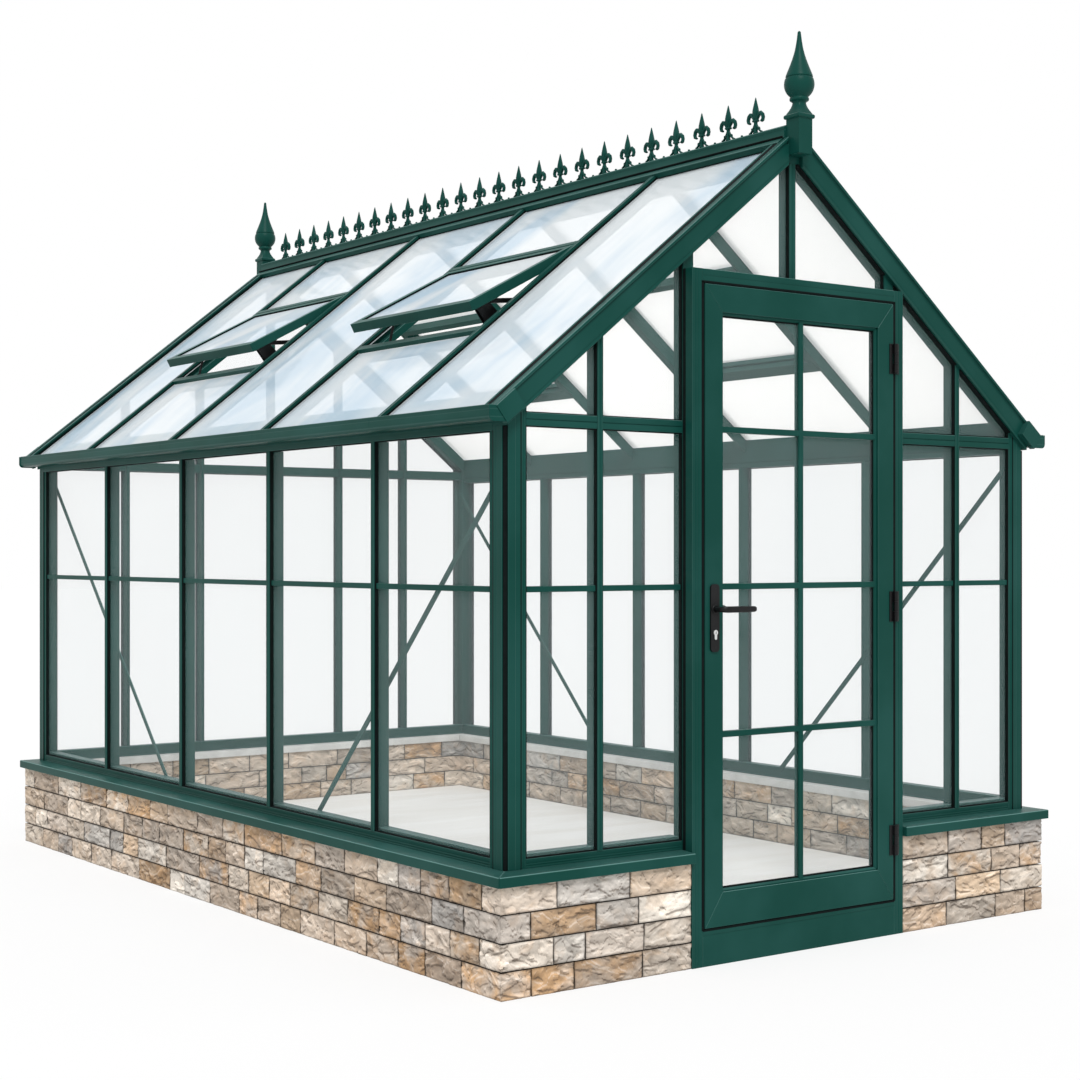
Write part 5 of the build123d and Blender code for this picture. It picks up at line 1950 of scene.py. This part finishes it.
@dataclass
class RoofVents:
    """Four hinged vents with their curbs; the two on the left stand open on their openers."""

    hinge: float = 510 * MM
    length: float = 480 * MM
    open_angle: float = math.radians(10.5)
    leaf_depth: float = 34 * MM
    sides: float = 22 * MM
    foot: float = 30 * MM
    inset: float = 11.5 * MM
    bead: float = 3 * MM
    bead_depths: Span = (3 * MM, 9 * MM)
    knuckle: float = 4 * MM
    opener_offset: float = 27.6 * MM
    opener_width: float = 24 * MM
    casing_depths: Span = (30 * MM, 56 * MM)
    casing_head: float = 700 * MM
    seat_setback: float = 22 * MM
    bracket: Span = (350 * MM, 455 * MM)
    arm_pivot: float = 800 * MM
    arm_faces: Span = (-2.5 * MM, 2.5 * MM)
    stay_offset: float = 114 * MM
    stay_head: float = 362 * MM
    stay_width: float = 9 * MM

    def build(self) -> None:
        """Makes curbs, leaves and openers."""
        for node in ("vent_curb_rails", "vent_curb_stiles"):
            Member(node, Body.BUILDING, Slot.GREEN, GREEN, 1.4 * MM).build()
        lines = LAYOUT.bars_on_roof()
        bays = [(lines[0], lines[1]), (lines[2], lines[3])]
        piece = Piece("vent_leaves", Body.BUILDING, Slot.GREEN, GREEN, GASKET_AND_SHADE)
        piece.join(*softened("vent_frames", 1.6 * MM))
        bead = rectangle((0, self.bead), self.bead_depths)
        for leaf in (self._leaf(-1), self._leaf(1)):
            for low, high in bays:
                left, right = low + self.inset, high - self.inset
                across = (left + self.sides, right - self.sides)
                opening = rectangle(across, (self.sides, self.length - self.foot))
                piece.join(*leaf.ring(opening, bead), finish=1)
                hinge = [leaf.at(y, -3 * MM, 1 * MM) for y in (left, right)]
                piece.join(rod(*hinge, self.knuckle))
        piece.done("vent_frames")
        opener = Piece("vent_openers_finished", Body.BUILDING, Slot.IRON, BLACK, STEEL)
        for low, high in bays:
            self._piston(opener, low + LAYOUT.fin_half + self.opener_offset)
            self._stay(opener, high - LAYOUT.fin_half - self.stay_offset)
        opener.done("vent_openers")

    def _leaf(self, side: float) -> Side:
        """The outer face of a leaf, whose up runs down from its hinge."""
        fall = LAYOUT.pitch - (self.open_angle if side < 0 else 0.0)
        return Side(LAYOUT.slope(side).at(0, self.hinge), Y, *falling(side, fall))

    def _piston(self, piece: Piece, near: float) -> None:
        """Adds a piston opener: casing, piston, three arms with their pins, and bracket.

        Args:
            piece: The openers' piece.
            near: The opener's nearer side, along the ridge.
        """
        slope, leaf = LAYOUT.slope(-1), self._leaf(-1)
        seat = self.hinge + self.length - self.seat_setback
        under = self.leaf_depth + 1 * MM
        side = (near, near + self.opener_width)
        middle = near + self.opener_width / 2
        casing = rectangle(side, self.casing_depths)
        piece.join(slope.upright(0, (self.casing_head, seat), casing, 3 * MM))
        barrel = [slope.at(middle, up, 34 * MM) for up in (610 * MM, 840 * MM)]
        piece.join(rod(*barrel, 11 * MM, 20))
        tip = slope.at(middle, 820 * MM, 34 * MM), slope.at(middle, 900 * MM, 30 * MM)
        piece.join(rod(*tip, 4 * MM), finish=1)
        arms = (
            ((4 * MM, 20 * MM), seat - 24 * MM, 36 * MM, 435 * MM, 19 * MM),
            ((9 * MM, 15 * MM), self.arm_pivot, 26 * MM, 385 * MM, 16 * MM),
            ((12 * MM,), seat - 60 * MM, 22 * MM, 410 * MM, 46 * MM),
        )
        for offsets, foot, depth, head, width in arms:
            for along in offsets:
                ends = slope.at(near + along, foot, depth), leaf.at(near + along, head, under)
                piece.join(self._arm(*ends, width))
        for up, depth in ((seat - 26 * MM, 38 * MM), (self.arm_pivot, 28 * MM)):
            pin = slope.at(near, up, depth)
            piece.join(rod(pin, pin + Y * self.opener_width, 5 * MM), finish=1)
        plate = rectangle(side, (under - 0.6 * MM, under + 4 * MM))
        piece.join(leaf.upright(0, self.bracket, plate, 1 * MM))

    def _stay(self, piece: Piece, along: float) -> None:
        """Adds the thin stay at the far side of a vent, with the pin at its foot.

        Args:
            piece: The openers' piece.
            along: Where it stands along the ridge.
        """
        slope, leaf = LAYOUT.slope(-1), self._leaf(-1)
        seat = self.hinge + self.length - self.seat_setback
        head = leaf.at(along, self.stay_head, self.leaf_depth + 1 * MM)
        piece.join(self._arm(slope.at(along, seat - 6 * MM, 40 * MM), head, self.stay_width))
        foot = slope.at(along, seat - 2 * MM, 42 * MM)
        piece.join(rod(foot - Y * 8 * MM, foot + Y * 8 * MM, 4 * MM), finish=1)

    def _arm(self, start: Vector, end: Vector, width: float) -> Shape:
        """A flat arm between two points, with its wide side facing along the ridge."""
        run, outline = end - start, strip(width / 2, self.arm_faces)
        return section_bar(outline, start, run.normalized().cross(Y), Y, run, 1 * MM)


# ---- doorway and door
@dataclass
class Doorway:
    """Jambs, head, threshold and stops, with black seals round the leaf that also paint its shadow gap,
    and painted shade on the jambs' sides.
    """

    jamb_lines: tuple[float, ...] = (20 * MM, 31 * MM)
    head_line: float = 20 * MM
    threshold_line: float = 96 * MM
    rounding: float = 1.5 * MM
    play: float = 2.5 * MM
    lap: float = 5 * MM
    proud: float = 0.8 * MM
    seal_depth: float = 38 * MM
    seal_edge: float = 0.6 * MM
    # depth of the black strips on the jambs' outer sides, painted shade
    cheek: Span = (13 * MM, 1 * MM)

    def build(self) -> None:
        """Makes the members of the doorway."""
        self._jambs()
        self._bars()
        stops = Piece("door_stops_finished", Body.BUILDING, Slot.GREEN, GASKET_AND_SHADE)
        stops.join(*softened("door_stops", 1 * MM)).done("door_stops")
        self._seals()

    @property
    def face(self) -> float:
        """The outer face of the jambs."""
        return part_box("door_jambs")[0].y

    def _jambs(self) -> None:
        """Jambs with two grooves down their face."""
        shapes = softened("door_jambs", self.rounding)
        for shape in shapes:
            for line in self.jamb_lines:
                middle = half_of(shape, X) * (LAYOUT.jamb[0] + line)
                groove(shape, X, middle, -Y, -self.face)
        painted("door_jambs").join(*shapes).done("door_jambs")

    def _bars(self) -> None:
        """Head and threshold with a groove along their face."""
        head_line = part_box("door_head")[0].z + self.head_line
        for node, level in (("door_head", head_line), ("door_threshold", self.threshold_line)):
            shapes = softened(node, self.rounding)
            for shape in shapes:
                groove(shape, Z, level, -Y, -self.face, 1.5 * MM, 2 * MM)
            painted(node).join(*shapes).done(node)

    def _seals(self) -> None:
        """Black seals that close the gap round the leaf, painting the shade in it, and black strips on
        the outer sides of the jambs as painted shade.
        """
        piece = Piece("door_seals_and_shade", Body.BUILDING, Slot.GREEN, GASKET_AND_SHADE)
        leaf_low, leaf_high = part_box("door_rails")
        inner, outer = LAYOUT.jamb
        near, far = leaf_high.x + self.play, inner + self.lap
        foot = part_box("door_threshold")[1].z
        head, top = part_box("door_head")[0].z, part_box("door_head")[1].z
        front, back = self.face - self.proud, self.face + self.seal_depth
        above, below = leaf_high.z + self.play, leaf_low.z - self.play
        # seals in the gap round the leaf, black as its painted shadow
        strips = [
            ((-far, front, above), (far, back, head + self.lap * 0.6)),
            ((-inner, front, foot - 3 * MM), (inner, back, below)),
            ((-far, front, foot), (-near, back, head)),
            ((near, front, foot), (far, back, head)),
        ]
        piece.join(*[slab(low, high, self.seal_edge) for low, high in strips])
        # painted shade: black strips along the outer sides of the jambs
        front, back = [-LAYOUT.frame_y - setback for setback in self.cheek]
        for side in (-1, 1):
            left, right = sorted((side * outer, side * (outer + self.proud)))
            piece.join(slab((left, front, LAYOUT.cill_top), (right, back, top)))
        piece.done()


@dataclass
class DoorLeaf:
    """Stiles and rails, and on both faces the glazing beads, gaskets and bars across the pane."""

    stile: float = 72 * MM
    top_rail: float = 84 * MM
    bottom_rail: float = 106 * MM
    bead: float = 9 * MM
    bead_rise: Span = (10 * MM, 4 * MM)
    gasket: float = 4 * MM
    gasket_rise: float = 2.5 * MM
    bar_half: float = 9.5 * MM
    bar_rise: float = 9 * MM
    cross_rise: float = 8.4 * MM
    bar_edge: float = 2.4 * MM
    cross_bars: tuple[float, ...] = (711 * MM, 1170 * MM, 1658 * MM)

    def build(self) -> None:
        """Makes the leaf."""
        for node in ("door_stiles", "door_rails"):
            Member(node, Body.DOOR, Slot.GREEN, GREEN, 1.4 * MM).build()
        trim = Piece("door_glazing_beads", Body.DOOR, Slot.GREEN, GREEN, GASKET_AND_SHADE)
        bars = Piece("door_glazing_bars", Body.DOOR, Slot.GREEN, GREEN)
        low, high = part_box("door_rails")
        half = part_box("door_stiles")[1].x - self.stile
        foot, top = low.z + self.bottom_rail, high.z - self.top_rail
        opening = strip(half, (foot, top))
        for out, end, pane in zip((-Y, Y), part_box("door_stiles"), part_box("door_glass")):
            side, depth = Side(Y * end.y, X, Z, out), abs(pane.y - end.y)
            high_edge, low_edge = [depth - rise for rise in self.bead_rise]
            bead = [(0, depth), (0, high_edge), (self.bead * 0.4, high_edge), (self.bead, low_edge)]
            trim.join(*side.ring(opening, [*bead, (self.bead, depth)]))
            gasket = rectangle((0, self.gasket + self.bead), (depth - self.gasket_rise, depth))
            trim.join(*side.ring(opening, gasket), finish=1)
            outline = strip(self.bar_half, (depth - self.bar_rise, depth))
            bars.join(side.upright(0, (foot, top), outline, self.bar_edge))
            outline = strip(self.bar_half, (depth - self.cross_rise, depth))
            for level in self.cross_bars:
                bars.join(side.level(level, (-half, half), outline, self.bar_edge))
        trim.done()
        bars.done()


@dataclass
class DoorFurniture:
    """Hinges, handle plates, lever and cylinder."""

    handle_x: float = -379 * MM
    spindle: float = 1100.5 * MM
    spindle_radius: float = 7.9 * MM
    plate_out: float = 6 * MM
    plate_screw: float = 14 * MM
    hinge_screws: tuple[float, ...] = (-38 * MM, 38 * MM, 0.0)
    frame_screw_y: float = -1843.3 * MM
    leaf_screw_out: float = 3.3 * MM
    rose: tuple[Span, ...] = (
        (8.3, 0), (14, 0), (14, 1.8), (12.8, 3), (9.6, 3), (8.3, 2.2), (8.3, 0),
    )
    cylinder: float = 1028.6 * MM
    plug: float = 6.4 * MM

    def build(self) -> None:
        """Makes the door's metalwork."""
        self._hinges()
        self._plates()
        self._lever()
        self._cylinder()

    def _hinges(self) -> None:
        """Butt hinges with countersunk screws."""
        frame_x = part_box("frame_hinges")[1].x - 9 * MM
        leaf_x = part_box("leaf_hinges")[0].x + 7 * MM
        leaf_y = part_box("door_stiles")[0].y - self.leaf_screw_out
        hinges = (
            ("frame_hinges", Body.BUILDING, frame_x, self.frame_screw_y),
            ("leaf_hinges", Body.DOOR, leaf_x, leaf_y),
        )
        for node, body, x, y in hinges:
            piece = Piece(f"{node}_finished", body, Slot.IRON, BLACK)
            piece.join(*softened(node, 0.6 * MM))
            for level in middles("frame_hinges", 2, 4):
                for rise in self.hinge_screws:
                    piece.join(screw(Vector((x, y, level + rise)), -Y, 3.2 * MM))
            piece.done(node)

    def _plates(self) -> None:
        """Long plates with a rose round the spindle and a screw at each end."""
        piece = Piece("handle_plates_finished", Body.DOOR, Slot.IRON, BLACK)
        piece.join(*softened("handle_plates", 1.6 * MM))
        low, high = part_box("handle_plates")
        for face, out in ((low.y, -Y), (high.y, Y)):
            for level in (low.z + self.plate_screw, high.z - self.plate_screw):
                piece.join(screw(Vector((self.handle_x, face, level)), out, 3.0 * MM))
            place = facing(Vector((self.handle_x, face, self.spindle)), out, MM)
            piece.join(moved(turned(self.rose, 40), place))
        piece.done("handle_plates")

    def _lever(self) -> None:
        """A spindle through the door with a bent lever at each end.

        A row of the lever's path is how far it lies along the lever and off the plate, and its
        half height and half thickness, in millimetres.
        """
        piece = Piece("lever_handle_finished", Body.LEVER, Slot.IRON, BLACK)
        low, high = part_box("door_stiles")
        front, back = low.y - self.plate_out, high.y + self.plate_out
        starts = [Vector((self.handle_x, y, self.spindle)) for y in (front, back)]
        piece.join(rod(*starts, self.spindle_radius, 24))
        path = ((0, 0, 8, 8), (0, 20, 8, 8), (0.5, 29, 8.6, 8), (4, 38, 9.4, 7.6), (12, 43, 10, 6.6))
        path += ((24, 44, 10, 6), (70, 44, 10, 5.6), (112, 44, 9.6, 5.4))
        path += ((124, 43.6, 8.8, 5), (130, 43, 6, 3.4))
        halves = [(tall, -thick) for _, _, tall, thick in path]
        for start, out in zip(starts, (-1, 1)):
            spots = [Vector((along, out * away, 0)) for along, away, _, _ in path]
            placed = Matrix.Translation(start) @ Matrix.Scale(MM, 4)
            rings = [placed @ ring for ring in rings_along(spots, halves, Z)]
            piece.join(lofted(rings, 24, [0.0, 0.0, 0.0, 0.2] + [0.45] * 6))
        piece.done("lever_handle", crease=40)

    def _cylinder(self) -> None:
        """The lock cylinder with its plug and key slot."""
        piece = Piece("lock_cylinder_finished", Body.DOOR, Slot.STEEL, STEEL, BLACK)
        piece.join(*softened("lock_cylinder", 0.5 * MM))
        low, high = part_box("lock_cylinder")
        for face, out in ((low.y, -1), (high.y, 1)):
            spot = Vector((self.handle_x, face, self.cylinder))
            piece.join(rod(spot - Y * out * MM, spot + Y * out * 0.8 * MM, self.plug, 32))
            ends = sorted((face, face + out * 1.1 * MM))
            slot_low = (self.handle_x - 0.9 * MM, ends[0], spot.z - 4 * MM)
            slot_high = (self.handle_x + 0.9 * MM, ends[1], spot.z + 3.4 * MM)
            piece.join(slab(slot_low, slot_high), finish=1)
        piece.done("lock_cylinder")


def screw(place: Vector, out: Vector, radius: float) -> Shape:
    """A low domed screw head."""
    head = turned([(0, -0.3), (1, -0.3), (1, 0.05), (0.8, 0.22), (0.4, 0.3), (0, 0.32)], 16)
    return moved(head, facing(place, out, radius))


# ---- floor, cill and braces
GROUND_WORK = (
    Member("base_cill", Body.BUILDING, Slot.GREEN, GREEN, 1.6 * MM),
    Member("inner_coping", Body.BUILDING, Slot.CONCRETE, COPING, 3 * MM),
    Member("floor_slab", Body.BUILDING, Slot.PAVING, PAVING, 2 * MM),
    Member("wind_braces", Body.BUILDING, Slot.GREEN, GREEN, 0.8 * MM),
)


def glaze() -> None:
    """Gives the panes their glass."""
    roof = {"roof_glass": ROOF_GLASS, "vent_glass": VENT_GLASS}
    for node in ("side_wall_glass", "front_glass", "back_glass", "door_glass", *roof):
        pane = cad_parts[node]
        pane.data.materials.clear()
        pane.data.materials.append(roof.get(node, WALL_GLASS).material())
        pane.visible_shadow = False
        pane.visible_diffuse = False
        LOG.info("%-24s glazed", node)


# ---- studio
@dataclass
class Studio:
    """Pale floor, white surroundings, soft light and the camera."""

    floor_radius: float = 60.0
    floor_drop: float = 0.5 * MM
    floor_colour: Colour = (0.93, 0.93, 0.93)
    floor_second: Colour = (0.95, 0.95, 0.95)
    floor_glow: float = 0.72
    white: Colour = (1.0, 1.0, 1.0)
    sky: float = 0.70
    key: float = 1.75
    key_spread: float = 22.0
    key_from: Triple = (-0.40, -0.70, 0.85)
    camera_spot: Triple = (-4.2152, -6.1961, 1.277)
    camera_turn: float = -36.0756
    lens: float = 62.4
    sensor: float = 36.0
    shift: float = 0.0112
    view_depth: float = 200.0

    def build(self) -> None:
        """Sets the whole studio up."""
        self._floor()
        self._world()
        self._key()
        self._camera()
        bpy.context.scene.view_settings.view_transform = "Standard"

    def _floor(self) -> None:
        """A wide disc that shows nearly white and keeps the object's shadow."""
        sheet = Sheet(bpy.data.materials.new("studio_floor"))
        colour = sheet.mix(sheet.noise(sheet.place(), 0.8), self.floor_colour, self.floor_second)
        paint = {"Base Color": colour, "Roughness": 0.95, "Specular IOR Level": 0.0}
        matt = sheet.add("ShaderNodeBsdfPrincipled", {}, paint)
        glow = sheet.add("ShaderNodeEmission", {}, {"Color": self.white, "Strength": 1.0})
        share = sheet.seen() * self.floor_glow
        blend = sheet.add("ShaderNodeMixShader", {}, {0: share, 1: matt, 2: glow})
        sheet.add("ShaderNodeOutputMaterial", {}, {"Surface": blend})
        shape = bmesh.new()
        bmesh.ops.create_circle(shape, cap_ends=True, segments=96, radius=self.floor_radius)
        bmesh.ops.translate(shape, vec=(0, 0, -self.floor_drop), verts=shape.verts[:])
        mesh = bpy.data.meshes.new("studio_floor")
        shape.to_mesh(mesh)
        shape.free()
        mesh.materials.append(sheet.owner)
        floor = bpy.data.objects.new("studio_floor", mesh)
        bpy.context.scene.collection.objects.link(floor)

    def _world(self) -> None:
        """White where it is seen and softer where it lights."""
        sheet = Sheet(bpy.data.worlds.new("studio"))
        strength = sheet.seen() * (1.0 - self.sky) + self.sky
        glow = sheet.add("ShaderNodeBackground", {}, {"Color": self.white, "Strength": strength})
        sheet.add("ShaderNodeOutputWorld", {}, {"Surface": glow})
        bpy.context.scene.world = sheet.owner

    def _key(self) -> None:
        """One broad lamp, high on the left of the door."""
        lamp = bpy.data.lights.new("key", "SUN")
        lamp.energy = self.key
        lamp.angle = math.radians(self.key_spread)
        key = bpy.data.objects.new("key", lamp)
        key.rotation_euler = Vector(self.key_from).to_track_quat("Z", "Y").to_euler()
        bpy.context.scene.collection.objects.link(key)

    def _camera(self) -> None:
        """The camera, level, a little left of the near corner."""
        lens = bpy.data.cameras.new("camera")
        lens.lens = self.lens
        lens.sensor_width = self.sensor
        lens.shift_y = self.shift
        lens.clip_end = self.view_depth
        camera = bpy.data.objects.new("camera", lens)
        camera.location = self.camera_spot
        camera.rotation_euler = (math.radians(90), 0, math.radians(self.camera_turn))
        bpy.context.scene.collection.objects.link(camera)
        bpy.context.scene.camera = camera


def main() -> None:
    """Builds the greenhouse's looks in order and reports each piece."""
    logging.basicConfig(level=logging.INFO, format="%(name)s: %(message)s")
    DwarfWall().build()
    for member in GROUND_WORK:
        member.build()
    for part in (WallFrame(), WallGlazing(), RoofFrame(), RidgeOrnament(), RoofVents()):
        part.build()
    for part in (Doorway(), DoorLeaf(), DoorFurniture()):
        part.build()
    glaze()
    Studio().build()


if __name__ == "__main__":
    main()
